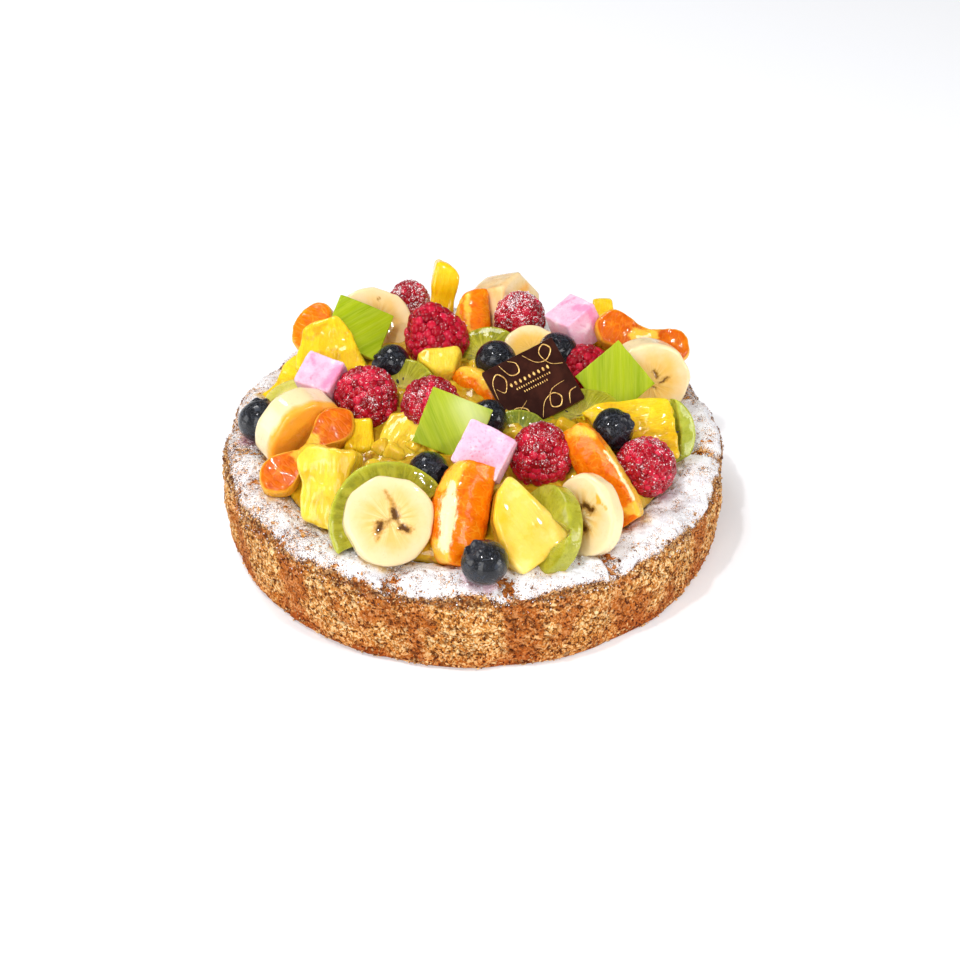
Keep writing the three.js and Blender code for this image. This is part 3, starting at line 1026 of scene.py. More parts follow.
@dataclass(frozen=True)
class CrumbFinish(Finish):
    """Baked nut sponge: grains of straw, gold and brown, with scorched edges; shade is painted into
    its pores, between its grains and towards its foot.
    """
    straw: Colour = (0.86, 0.46, 0.135)
    dusted: Colour = (0.97, 0.73, 0.4)
    golden: Colour = (0.7, 0.24, 0.036)
    toast: Colour = (0.52, 0.125, 0.012)
    brown: Colour = (0.07, 0.015, 0.004)

    def paint(self, sheet: Surface) -> None:
        """Gives each grain a tone of its own, shifted by broad clouds and bands, and paints shade
        into the pores, the gaps between grains and the foot.

        Args:
            sheet: The nodes of the material.
        """
        flat = sheet.stretched((1.0, 1.0, 0.8))
        # The band mark holds toasted creases, random clouds and painted shade towards the foot.
        cloud = sheet.times(sheet.mark("band"), 0.3, plus=sheet.noise(11.0, 2.0, 0.55))
        coarse = sheet.effect("grit", Vector=flat, Size=1.15)
        small = sheet.effect("grit", Vector=flat, Size=0.6)
        fine = sheet.noise(0.4, 2.0, 0.7)
        shade = sheet.times(coarse["Shade"], 0.45, plus=sheet.times(small["Shade"], 0.55))
        shade = sheet.times(sheet.minus(fine, 0.5), 0.55, plus=shade)
        base = sheet.mix(sheet.rise(cloud, 0.48, 0.78), self.golden, self.toast)
        open_crumb = sheet.rise(cloud, 0.8, 0.48, 0.15, 1.0)
        pale = sheet.times(sheet.rise(shade, 0.4, 0.64), open_crumb)
        light = sheet.mix(pale, base, self.straw)
        # Painted shade: the gaps between grains are darkened as shade, along with the darkest
        # grains.
        gap = sheet.times(sheet.rise(coarse["Gap"], 0.1, 0.0), 0.3)
        low = sheet.plus(sheet.rise(shade, 0.36, 0.2), gap)
        chalk = sheet.times(sheet.rise(shade, 0.6, 0.78, 0.0, 0.9), open_crumb)
        light = sheet.mix(chalk, light, self.dusted)
        dark = sheet.mix(sheet.math("MINIMUM", low, 0.94), light, self.brown)
        scorch = sheet.times(sheet.mark("scorch"), sheet.rise(sheet.noise(0.8, 3.0), 0.42, 0.6))
        toasted = sheet.mix(sheet.times(scorch, 0.75), dark, (0.17, 0.05, 0.015))
        # Painted shade: the pores are coloured dark brown as the shade inside them.
        painted_pore_shade = sheet.mix(sheet.times(sheet.mark("pore"), 0.75), toasted, (0.1, 0.028, 0.009))
        # Painted shade: the lower crust is multiplied darker as the shade at its foot.
        foot = sheet.mix(1.0, painted_pore_shade, (0.82, 0.58, 0.36), "MULTIPLY")
        baked = sheet.mix(sheet.mark("foot"), painted_pore_shade, foot)
        height = sheet.times(sheet.rise(shade, 0.2, 0.6), 0.8, plus=fine)
        sheet.put(Base_Color=baked, Roughness=sheet.rise(fine, 0.3, 0.7, 0.95, 0.7),
                  Normal=sheet.bump(height, 0.4, 0.8), Specular_IOR_Level=0.15)


@dataclass(frozen=True)
class SugarFinish(Finish):
    """Icing sugar on the rim, with crumb specks, stains where the fruit is wet and patches of
    painted grey-lavender shade.
    """
    white: Colour = (0.91, 0.905, 0.925)
    berry: Colour = (0.6, 0.2, 0.3)
    syrup: Colour = (0.72, 0.46, 0.1)

    def paint(self, sheet: Surface) -> None:
        """Specks and stains the powder, and paints soft grey shade on it in patches.

        Args:
            sheet: The nodes of the material.
        """
        thin = sheet.mark("thin")
        grit = sheet.effect("grit", Vector=sheet.own, Size=0.75)
        speck = sheet.plus(sheet.times(sheet.noise(0.38, 3.0, 0.7), 0.82),
            sheet.times(sheet.noise(2.0, 2.0), 0.18))
        line = sheet.times(thin, 0.15, plus=speck)
        line = sheet.times(sheet.mark("speckle"), 0.1, plus=line)
        mask = sheet.rise(line, 0.61, 0.67)
        tone = sheet.mix(sheet.rise(grit["Shade"], 0.35, 0.75), (0.11, 0.032, 0.011),
            (0.66, 0.34, 0.13))
        # Painted shade: broad patches of the white are greyed towards lavender as soft shadow.
        white_with_painted_shade = sheet.mix(sheet.rise(sheet.noise(7.0, 3.0), 0.38, 0.62), self.white,
            (0.8, 0.79, 0.83))
        veil = sheet.mix(sheet.rise(line, 0.52, 0.68, 0.0, 0.3), white_with_painted_shade, (0.72, 0.56, 0.45))
        dirty = sheet.mix(mask, veil, tone)
        pink = sheet.mix(sheet.times(sheet.mark("berry_stain"), 0.55), dirty, self.berry)
        wet = sheet.times(sheet.mark("syrup_stain"), 0.75)
        sheet.put(Base_Color=sheet.mix(wet, pink, self.syrup),
                  Roughness=sheet.rise(wet, 0.1, 0.7, 0.93, 0.3),
                  Normal=sheet.bump(sheet.noise(0.6, 3.0, 0.75), 0.55, 0.9),
                  Specular_IOR_Level=0.15)
        sheet.flesh(0.06, (1.0, 0.95, 0.95), 0.4)


@dataclass(frozen=True)
class GrainFinish(Finish):
    """Loose grains or crumbs whose shade is held by each of them."""
    dark: Colour
    pale: Colour
    roughness: float = 0.85

    def paint(self, sheet: Surface) -> None:
        """Shades each grain between dark and pale."""
        grain = sheet.times(sheet.noise(0.4), 0.5, plus=sheet.minus(sheet.mark("tone"), 0.25))
        sheet.put(Base_Color=sheet.mix(sheet.rise(grain, 0.0, 1.0), self.dark, self.pale),
                  Roughness=self.roughness, Normal=sheet.bump(sheet.noise(0.3), 0.1, 0.6))


@dataclass(frozen=True)
class GelFinish(Finish):
    """Pastry cream under apricot glaze, or the glaze itself."""
    deep: Colour
    body: Colour
    pale: Colour
    depth: float = 3.0

    def paint(self, sheet: Surface) -> None:
        """Clouds the gel and gives it a wet film.

        Args:
            sheet: The nodes of the material.
        """
        tones = sheet.effect("mottle", Vector=sheet.own, Size=6.0, Dark=self.deep, Body=self.body,
            Pale=self.pale)
        sheet.put(Base_Color=tones["Color"])
        sheet.glaze(1.6, sheet.noise(1.6, 2.0), 0.5)
        sheet.flesh(0.7, (1.0, 0.55, 0.2), self.depth)
        sheet.coat(0.1)


@dataclass(frozen=True)
class RaspberryFinish(Finish):
    """Glossy crimson drupelets with a dusting of icing sugar."""
    share: float
    deep: Colour = (0.24, 0.0015, 0.008)
    body: Colour = (0.42, 0.0032, 0.017)
    pale: Colour = (0.58, 0.014, 0.048)

    def paint(self, sheet: Surface) -> None:
        """Tints each drupelet and dusts it.

        Args:
            sheet: The nodes of the material.
        """
        tone = sheet.mark("tone")
        tint = sheet.mix(sheet.rise(tone, 0.0, 0.55), self.deep, self.body)
        tint = sheet.mix(sheet.rise(tone, 0.55, 1.0), tint, self.pale)
        dust = sheet.effect("dusting", Vector=sheet.own, Color=tint, Amount=self.share, Grain=0.5)
        sheet.put(Base_Color=dust["Color"],
                  Roughness=sheet.rise(dust["Mask"], 0.0, 1.0, 0.32, 0.85),
                  Coat_Weight=sheet.rise(dust["Mask"], 0.0, 0.6, 0.55, 0.0),
                  Normal=sheet.bump(sheet.noise(0.9, 2.0), 0.16, 0.5), Specular_IOR_Level=0.06)
        sheet.flesh(0.45, (1.0, 0.08, 0.08), 1.1)
        sheet.coat(0.07)


@dataclass(frozen=True)
class BlueberryFinish(Finish):
    """Near-black skin with streaks of slate bloom rubbed off in places."""
    skin: Colour = (0.0035, 0.004, 0.007)
    bloom: Colour = (0.04, 0.047, 0.064)

    def paint(self, sheet: Surface) -> None:
        """Rubs the bloom and wrinkles the skin.

        Args:
            sheet: The nodes of the material.
        """
        rub = sheet.noise(3.0, 6.0, 0.72, 1.6)
        mask = sheet.rise(rub, 0.47, 0.66)
        crown = sheet.mark("crown")
        skin = sheet.mix(mask, self.skin, self.bloom)
        fleck = sheet.noise(1.3, 4.0, 0.7, 0.8)
        sheet.put(Base_Color=sheet.mix(crown, skin, (0.022, 0.022, 0.03)),
                  Roughness=sheet.rise(mask, 0.0, 1.0, 0.22, 0.5),
                  Coat_Weight=sheet.rise(mask, 0.1, 0.9, 0.7, 0.05),
                  Normal=sheet.bump(fleck, 0.6, 0.9), Specular_IOR_Level=0.2)
        sheet.coat(0.08)


@dataclass(frozen=True)
class BananaFinish(Finish):
    """Glazed banana: cream rim, honey middle, rays, three brown seed marks and amber glaze whose
    colour is painted bright as light.
    """
    cream: Colour = (0.86, 0.68, 0.39)
    honey: Colour = (0.82, 0.53, 0.16)
    brown: Colour = (0.13, 0.05, 0.009)

    def paint(self, sheet: Surface) -> None:
        """Colours the slice by its distance from the middle and its seed marks.

        Args:
            sheet: The nodes of the material.
        """
        rays = sheet.effect("rays", Plan=sheet.mark("plan", "Vector"), Count=5.0,
            Seed=sheet.mark("seed"))
        away = rays["Radius"]
        cloud = sheet.noise(5.0, 3.0)
        ring = sheet.rise(sheet.times(cloud, 0.35, plus=away), 0.58, 1.05)
        base = sheet.mix(ring, self.honey, self.cream)
        heart = sheet.rise(away, 0.5, 0.14)
        base = sheet.mix(sheet.times(heart, 0.45), base, (0.88, 0.7, 0.3))
        ray = sheet.times(rays["Mask"], sheet.rise(away, 0.78, 0.3))
        base = sheet.mix(sheet.times(ray, 0.4), base, (0.93, 0.86, 0.58))
        ripe = sheet.times(sheet.mark("ripe"), sheet.rise(sheet.times(cloud, 0.5, plus=away), 1.25,
            0.7))
        base = sheet.mix(ripe, base, (0.84, 0.5, 0.085))
        vein = sheet.times(sheet.rise(rays["Mask"], 0.35, 0.0),
            sheet.rise(away, 0.5, 0.18, 0.0, 0.45))
        base = sheet.mix(vein, base, (0.72, 0.42, 0.1))
        spot = sheet.times(sheet.noise(0.9, 4.0, 0.7), 1.1,
            plus=sheet.minus(sheet.mark("spots"), 0.55))
        halo = sheet.rise(spot, 0.06, 0.62, 0.0, 0.8)
        core = sheet.rise(spot, 0.5, 1.05)
        tinted = sheet.mix(halo, base, (0.54, 0.27, 0.045))
        # Amber glaze: its colour is painted brighter than the glaze, as painted light on faces that
        # turn away from the lamps.
        amber = sheet.times(sheet.minus(cloud, 0.5), 0.7, plus=sheet.mark("glaze"))
        amber = sheet.rise(amber, 0.15, 0.8, 0.0, 0.95)
        tinted = sheet.mix(amber, tinted, (0.9, 0.4, 0.022))
        sheet.put(Base_Color=sheet.mix(core, tinted, self.brown))
        sheet.glaze(0.6, ray, 0.08)
        sheet.flesh(0.55, (1.0, 0.8, 0.4), 2.0)
        sheet.coat(0.06)


@dataclass(frozen=True)
class KiwiFinish(Finish):
    """Glassy green flesh with rays, a pale core and a darker outer band."""
    leaf: Colour = (0.34, 0.29, 0.004)
    deep: Colour = (0.15, 0.14, 0.002)
    core: Colour = (0.76, 0.66, 0.15)
    rays: float = 0.7

    def paint(self, sheet: Surface) -> None:
        """Colours the slice from its core to its rim.

        Args:
            sheet: The nodes of the material.
        """
        rays = sheet.effect("rays", Plan=sheet.mark("plan", "Vector"), Count=8.0,
            Seed=sheet.mark("seed"))
        away = rays["Radius"]
        grain = sheet.noise(1.3, 4.0, 0.65)
        cloud = sheet.times(grain, 0.5, plus=sheet.noise(4.0, 3.0))
        flesh = sheet.mix(sheet.rise(cloud, 0.52, 0.98), self.deep, self.leaf)
        band = sheet.rise(away, 0.3, 0.6)
        flesh = sheet.mix(sheet.times(sheet.rise(away, 0.25, 0.42), 0.25), flesh,
            (0.46, 0.48, 0.03))
        ray = sheet.times(rays["Mask"], sheet.rise(away, 1.05, 0.45, 0.25, 0.8))
        flesh = sheet.mix(sheet.times(ray, self.rays), flesh, (0.62, 0.58, 0.06))
        rim = sheet.rise(away, 0.9, 1.02)
        flesh = sheet.mix(sheet.times(rim, self.rays), flesh, (0.52, 0.54, 0.05))
        pale = sheet.times(sheet.noise(2.0), 0.12, plus=away)
        inner = sheet.mix(band, sheet.mix(0.5, self.core, flesh), flesh)
        sheet.put(Base_Color=sheet.mix(sheet.rise(pale, 0.27, 0.19), inner, self.core))
        sheet.glaze(0.9, sheet.times(rays["Mask"], self.rays, plus=grain), 0.35)
        sheet.flesh(0.75, (0.85, 1.0, 0.25), 2.6)
        sheet.coat(0.05)


@dataclass(frozen=True)
class ChunkFinish(Finish):
    """Pineapple or mango flesh: fibres, pale and amber clouds, glazed."""
    pale: Colour
    body: Colour
    amber: Colour
    fibre: float
    depth: float

    def paint(self, sheet: Surface) -> None:
        """Runs fibres along the chunk and clouds its colour.

        Args:
            sheet: The nodes of the material.
        """
        fibres = sheet.effect("streaks", Vector=sheet.own, Size=1.8, Stretch=(1.0, 0.22, 0.7))
        tones = sheet.effect("mottle", Vector=sheet.own, Size=7.5, Dark=self.amber, Body=self.body,
            Pale=self.pale)
        line = sheet.times(fibres["Mask"], self.fibre)
        colour = sheet.mix(sheet.times(line, 0.42), tones["Color"], self.pale)
        eye = sheet.mix(sheet.mark("eyes"), colour, self.amber)
        height = sheet.times(fibres["Fine"], 0.5, plus=fibres["Mask"])
        sheet.put(Base_Color=eye)
        sheet.glaze(0.8, height, self.depth)
        sheet.flesh(0.65, (1.0, 0.72, 0.18), 2.6)
        sheet.coat(0.05)


@dataclass(frozen=True)
class MandarinFinish(Finish):
    """Juice sacs under a thin skin, with white pith."""
    dark: Colour = (0.74, 0.12, 0.001)
    sac: Colour = (0.88, 0.2, 0.001)
    skin: Colour = (0.93, 0.32, 0.003)
    pith: Colour = (0.93, 0.76, 0.44)
    membrane: Colour = (0.93, 0.54, 0.055)
    seams: float = 0.6

    def paint(self, sheet: Surface) -> None:
        """Draws the sacs and lays the pith over them.

        Args:
            sheet: The nodes of the material.
        """
        edge = sheet.cracks(sheet.stretched((1.0, 0.36, 0.8)), 1.9)
        tones = sheet.effect("mottle", Vector=sheet.own, Size=4.5, Dark=self.dark, Body=self.sac,
            Pale=self.skin)
        faint = sheet.rise(sheet.noise(3.5, 2.0), 0.42, 0.64, 0.0, self.seams)
        seam = sheet.times(sheet.rise(edge, 0.09, 0.0), faint)
        colour = sheet.mix(seam, tones["Color"], (0.95, 0.45, 0.035))
        film = sheet.times(sheet.noise(2.4, 4.0, 0.65), 1.1,
            plus=sheet.minus(sheet.mark("tint"), 0.55))
        colour = sheet.mix(sheet.rise(film, 0.1, 0.65, 0.0, 0.95), colour, self.membrane)
        colour = sheet.mix(sheet.times(sheet.mark("rim"), 0.8), colour, (0.93, 0.5, 0.04))
        torn = sheet.noise(1.3, 4.0, 0.7, at=sheet.stretched((0.5, 1.0, 1.0)))
        white = sheet.times(torn, 1.7, plus=sheet.minus(sheet.mark("pith"), 0.85))
        sheet.put(Base_Color=sheet.mix(sheet.rise(white, 0.35, 0.85), colour, self.pith))
        sheet.glaze(0.8, sheet.rise(edge, 0.0, 0.2), 0.07, 0.5)
        sheet.flesh(0.45, (1.0, 0.45, 0.05), 1.8)
        sheet.coat(0.05)


@dataclass(frozen=True)
class MarshmallowFinish(Finish):
    """Soft pink foam with fine pores painted darker as shade, darker pink flecks and sugar."""
    pink: Colour = (0.84, 0.37, 0.53)
    rose: Colour = (0.76, 0.19, 0.36)
    white: Colour = (0.92, 0.68, 0.77)

    def paint(self, sheet: Surface) -> None:
        """Flecks the foam.

        Args:
            sheet: The nodes of the material.
        """
        tones = sheet.effect("mottle", Vector=sheet.own, Size=4.5, Dark=self.pink,
            Body=(0.87, 0.51, 0.65), Pale=self.white)
        fleck = sheet.noise(0.9, 3.0, 0.6)
        colour = sheet.mix(sheet.rise(fleck, 0.6, 0.76, 0.0, 0.55), tones["Color"], self.rose)
        stain = sheet.rise(sheet.times(sheet.noise(2.0, 4.0, 0.7), 0.9, plus=sheet.mark("stain")),
            0.62, 1.1, 0.0, 0.9)
        colour = sheet.mix(stain, colour, (0.8, 0.25, 0.44))
        # Painted shade: the pores are coloured a deeper pink as the shade inside them.
        sheet.put(Base_Color=sheet.mix(sheet.mark("pore"), colour, (0.8, 0.34, 0.5)),
                  Roughness=sheet.rise(fleck, 0.3, 0.7, 0.85, 0.55),
                  Normal=sheet.bump(fleck, 0.3, 0.6), Specular_IOR_Level=0.2)
        sheet.flesh(0.6, (1.0, 0.7, 0.8), 2.5)


@dataclass(frozen=True)
class GreenChocolateFinish(Finish):
    """Tempered green plate with fine streaks of deeper and paler green, and a pale painted sheen
    where the bloom strokes lie.
    """
    green: Colour = (0.38, 0.47, 0.005)
    deep: Colour = (0.22, 0.33, 0.002)
    pale: Colour = (0.54, 0.59, 0.06)

    def paint(self, sheet: Surface) -> None:
        """Streaks the plate along its own Y and pales its cut edge.

        Args:
            sheet: The nodes of the material.
        """
        run = sheet.mark("run", "Vector")
        lines = sheet.effect("streaks", Vector=run, Size=1.3, Stretch=(1.0, 0.05, 0.05))
        broad = sheet.effect("streaks", Vector=run, Size=5.0, Stretch=(1.0, 0.07, 0.05))
        colour = sheet.mix(sheet.times(broad["Mask"], 0.7), self.green, self.deep)
        colour = sheet.mix(sheet.times(lines["Mask"], 0.38), colour, self.pale)
        colour = sheet.mix(sheet.times(lines["Fine"], 0.22), colour, self.deep)
        # Painted sheen: the bloom strokes lay a pale patch that stands in for a reflection on the
        # face.
        colour = sheet.mix(sheet.times(sheet.mark("bloom"), 0.7), colour, (0.72, 0.78, 0.36))
        sheet.put(Base_Color=sheet.mix(sheet.times(sheet.mark("cut"), 0.7), colour, self.pale),
                  Roughness=sheet.rise(lines["Fine"], 0.0, 1.0, 0.34, 0.46),
                  Normal=sheet.bump(lines["Mask"], 0.1, 0.5), Specular_IOR_Level=0.12)
        sheet.flesh(0.25, (0.8, 1.0, 0.3), 1.0)


@dataclass(frozen=True)
class DarkChocolateFinish(Finish):
    """Tempered dark plate, faintly clouded."""
    dark: Colour = (0.024, 0.0052, 0.003)
    brown: Colour = (0.048, 0.012, 0.0065)

    def paint(self, sheet: Surface) -> None:
        """Clouds the plate and pales its cut edge.

        Args:
            sheet: The nodes of the material.
        """
        cloud = sheet.noise(6.0, 4.0, 0.6)
        colour = sheet.mix(sheet.rise(cloud, 0.4, 0.7), self.dark, self.brown)
        sheet.put(Base_Color=sheet.mix(sheet.mark("cut"), colour, (0.12, 0.05, 0.03)),
                  Roughness=sheet.rise(cloud, 0.3, 0.7, 0.34, 0.5),
                  Normal=sheet.bump(sheet.noise(2.5, 2.0), 0.08, 0.4), Specular_IOR_Level=0.05)


@dataclass(frozen=True)
class GoldFinish(Finish):
    """Printed gold: warm, with thin places."""

    def paint(self, sheet: Surface) -> None:
        """Thins the gold in places."""
        worn = sheet.rise(sheet.noise(1.2, 3.0), 0.35, 0.6)
        sheet.put(Base_Color=sheet.mix(worn, (0.5, 0.25, 0.06), (0.88, 0.56, 0.17)),
                  Roughness=sheet.rise(worn, 0.0, 1.0, 0.55, 0.38), Metallic=0.35)


@dataclass(frozen=True)
class TableFinish(Finish):
    """A plain white table top, slightly shiny."""

    def paint(self, sheet: Surface) -> None:
        """Keeps the table plain."""
        sheet.put(Base_Color=(0.76, 0.77, 0.8), Roughness=0.1, Specular_IOR_Level=0.5,
                  Emission_Color=(1.0, 0.995, 0.995), Emission_Strength=0.29)


CRUMB_GRAIN = GrainFinish("crumb_grain", (0.1, 0.026, 0.008), (0.88, 0.5, 0.19))
KIWI_SEED = GrainFinish("kiwi_seed", (0.008, 0.006, 0.005), (0.035, 0.022, 0.012), 0.3)
CUSTARD_GEL = GelFinish("custard_gel", (0.3, 0.13, 0.003), (0.54, 0.31, 0.008), (0.78, 0.58, 0.05))
SUGAR_GRAIN = GrainFinish("sugar_grain", (0.62, 0.58, 0.58), (0.95, 0.94, 0.96))
GOLDEN_PINEAPPLE = ChunkFinish("pineapple_flesh", (0.91, 0.67, 0.04), (0.88, 0.56, 0.01),
    (0.66, 0.33, 0.003), 0.4, 0.16)
PALE_PINEAPPLE = ChunkFinish("pineapple_pale", (0.9, 0.71, 0.15), (0.86, 0.61, 0.045),
    (0.66, 0.4, 0.009), 0.3, 0.1)
PALE_MANGO = ChunkFinish("mango_pale", (0.92, 0.72, 0.23), (0.9, 0.63, 0.11), (0.86, 0.52, 0.02),
    0.06, 0.05)
DEEP_MANGO = ChunkFinish("mango_deep", (0.93, 0.66, 0.02), (0.91, 0.56, 0.005), (0.8, 0.38, 0.003),
    0.35, 0.1)
# Painted shade: a darkened copy of the kiwi for the slice that lies in the plaque's shade.
PAINTED_SHADE_KIWI = KiwiFinish("kiwi_painted_shade", (0.1, 0.16, 0.014), (0.045, 0.075, 0.008), (0.78, 0.8, 0.55))
PLAIN_KIWI = KiwiFinish("kiwi_plain", (0.42, 0.38, 0.03), (0.22, 0.19, 0.006), (0.44, 0.38, 0.04),
    0.2)
PALE_KIWI = KiwiFinish("kiwi_pale", (0.48, 0.53, 0.08), (0.34, 0.38, 0.035), (0.6, 0.6, 0.16), 0.3)
DEEP_MANDARIN = MandarinFinish("mandarin_deep", (0.54, 0.078, 0.0005), (0.66, 0.125, 0.0005),
    (0.78, 0.2, 0.001), seams=0.2)
CREAMY_KIWI = KiwiFinish("kiwi_creamy", (0.76, 0.66, 0.16), (0.62, 0.54, 0.09), (0.8, 0.72, 0.26),
    0.2)


# ---------------------------------------- pieces


def dress(name: str, shape: Shape, finish: Finish, slot: str, place: Matrix | None = None,
        node: str | None = None) -> None:
    """Writes a piece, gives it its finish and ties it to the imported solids.

    Args:
        name: Name of the piece.
        shape: Its surface in its own axes.
        finish: Its finish.
        slot: The record's material slot.
        place: Its frame in millimetres, or None for the tart's own.
        node: The CAD solid that it stands for, or None.
    """
    piece = write_mesh(name, shape, place)
    piece.data.materials.append(finish.material())
    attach(piece, BODY)
    if node is not None:
        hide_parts(node)
    LOG.info("%s: %d triangles, %s", name, len(shape.faces), slot)


MIDDLES = (Side.MIDDLE, Side.MIDDLE, Side.MIDDLE)
LOW_X = (Side.LOW, Side.HIGH, Side.HIGH)
UPRIGHT = (Side.MIDDLE, Side.HIGH, Side.HIGH)


@dataclass
class Piece:
    """One piece of the topping, in the place of its CAD solid."""
    node: str
    pose: Pose
    width: float
    length: float
    thickness: float
    seed: int = 1
    grip: Grip = (Side.HIGH, Side.HIGH, Side.HIGH)
    cut_by: tuple[str, ...] = ()
    behind: str = ""
    built: ClassVar[dict[str, "Piece"]] = {}
    part: ClassVar[str] = "fruit"
    slot: ClassVar[str] = ""
    look: Finish | None = None

    def half(self) -> tuple[float, float, float]:
        """Half sizes along the piece's own axes."""
        return self.width / 2, self.length / 2, self.thickness / 2

    def place(self) -> Matrix:
        """The piece's frame in millimetres."""
        high = self.half()
        low = tuple(-value for value in high)
        return seat(self.node, self.pose, low, high, self.grip)

    def up(self) -> Array:
        """The way up, in the piece's own axes."""
        return self.pose.rotation().T @ np.array([0.0, 0.0, 1.0])

    def cut(self, shape: Shape) -> Shape:
        """Cuts the piece back where firmer neighbours press into it or lie on it.

        Args:
            shape: The whole piece.

        Returns:
            What is left of it.
        """
        if not (self.cut_by or self.behind):
            return shape
        prism = self.built[self.behind].column() if self.behind else None
        return trim(shape, self.place(), self.cut_by, prism)

    def column(self) -> tuple[Shape, Matrix]:
        """The space that the piece takes up together with all that would lie on its face."""
        reach = 4 * self.thickness
        lift = Matrix.Translation((0, 0, (reach - self.thickness) / 2 + 0.4))
        return slab(0.92 * self.outline(), reach, 0.4, 3, 3), self.place() @ lift

    def outline(self) -> Array:
        """The outline of the piece's face."""
        raise NotImplementedError

    def plan(self, shape: Shape) -> Array:
        """Marks the places on the piece, as shares of its half sizes, and returns them."""
        halves = np.array([self.width / 2, self.length / 2, self.thickness / 2])
        shape.marks["plan"] = shape.points / halves
        return shape.marks["plan"]

    def shape(self) -> Shape:
        """The piece's surface in its own axes."""
        raise NotImplementedError

    def build(self) -> Shape:
        """Builds the piece and returns its surface in the tart's frame.

        Returns:
            The surface in the tart's frame.
        """
        shape = self.shape()
        shape.marks["seed"] = np.full(len(shape.points), float(self.seed))
        place = self.place()
        self.built[self.node] = self
        dress(f"{self.node}_{self.part}", shape, self.look, self.slot, place, self.node)
        self.add_details(shape, place)
        return shape.placed(place)

    def add_details(self, shape: Shape, place: Matrix) -> None:
        """Adds the small separate things on the piece, if it has any."""


@dataclass
class Raspberry(Piece):
    """A raspberry with its tip along +Z: staggered drupelets around a core."""
    drupelet: float = 3.3
    dusting: Dusting = Dusting.LIGHT
    cone: float = 0.14
    grip: Grip = UPRIGHT
    slot: ClassVar[str] = "raspberry"
    FULLNESS: ClassVar[float] = 0.8
    ROW_STEP: ClassVar[float] = 0.76
    COLUMN_STEP: ClassVar[float] = 0.86

    def half(self) -> tuple[float, float, float]:
        """Half sizes; the solid's staggered corners reach a little further along Y."""
        return self.width / 2, 1.01 * self.width / 2, self.length / 2

    def side(self, inset: float) -> tuple[Array, Array, Array]:
        """The berry's side, from its tip to its base.

        Args:
            inset: How far inside the outer surface.

        Returns:
            Radius, height and distance walked from the tip.
        """
        polar = np.linspace(0, np.pi, 120)
        cone = 1 - self.cone * np.cos(polar)
        radius = (self.width / 2 - inset) * cone * np.sin(polar) ** self.FULLNESS
        height = (self.length / 2 - inset) * np.cos(polar)
        return radius, height, distances(np.column_stack([radius, height]))

    def core(self) -> Shape:
        """The body that the drupelets sit on.

        Returns:
            The surface in the piece's own axes.
        """
        radius, height, _ = self.side(0.36 * self.drupelet)
        rows = np.linspace(6, 113, 12).astype(int)
        rings = circle(full_turn(26), radius[rows, None], height[rows, None])
        shape = loft(rings, np.array([0, 0, height[0]]), np.array([0, 0, height[-1] * 0.8]))
        shape.marks["tone"] = np.zeros(len(shape.points))
        return shape

    def shape(self) -> Shape:
        """Core and drupelets.

        Returns:
            The surface in the piece's own axes.
        """
        rng = np.random.default_rng(self.seed)
        radius, height, walked = self.side(0.34 * self.drupelet)
        rows = max(5, round(walked[-1] / (self.ROW_STEP * self.drupelet)))
        places, outward = [[0.0, 0.0, height[0]]], [[0.0, 0.0, 1.0]]
        for row in range(1, rows):
            walk = walked[-1] * row / rows
            r = np.interp(walk, walked, radius)
            z = np.interp(walk, walked, height)
            slope = (np.interp(walk + 0.3, walked, radius) - np.interp(walk - 0.3, walked, radius),
                np.interp(walk + 0.3, walked, height) - np.interp(walk - 0.3, walked, height))
            steep = math.hypot(*slope)
            out, rise = -slope[1] / steep, slope[0] / steep
            count = max(3, round(2 * math.pi * r / (self.COLUMN_STEP * self.drupelet)))
            start = rng.uniform(0, 0.25) + 0.5 * (row % 2)
            for i in range(count):
                angle = 2 * math.pi * (i + start + rng.uniform(-0.1, 0.1)) / count
                shift = rng.uniform(-0.1, 0.1) * self.drupelet
                places.append([r * math.cos(angle), r * math.sin(angle), z + shift])
                outward.append([out * math.cos(angle), out * math.sin(angle), rise])
        places = np.array(places)
        outward = np.array(outward)
        places += outward * rng.uniform(-0.09, 0.07, (len(places), 1)) * self.drupelet
        sizes = np.array([1.16, 1.16, 0.78]) * self.drupelet / 2
        sizes = sizes * rng.uniform(0.86, 1.12, (len(places), 1))
        drupelets = stamp(ball(9, 6), places, turns_to(outward, rng), sizes,
            rng.uniform(0, 1, len(places)))
        drupelets.points += 0.12 * waves(drupelets.points, 1.4, self.seed)[:, None]
        return Shape.join([drupelets, self.core()])

    def __post_init__(self) -> None:
        """Dusts the finish as much as the berry."""
        self.look = RaspberryFinish(f"raspberry_{self.dusting.name.lower()}", self.dusting.value[1])


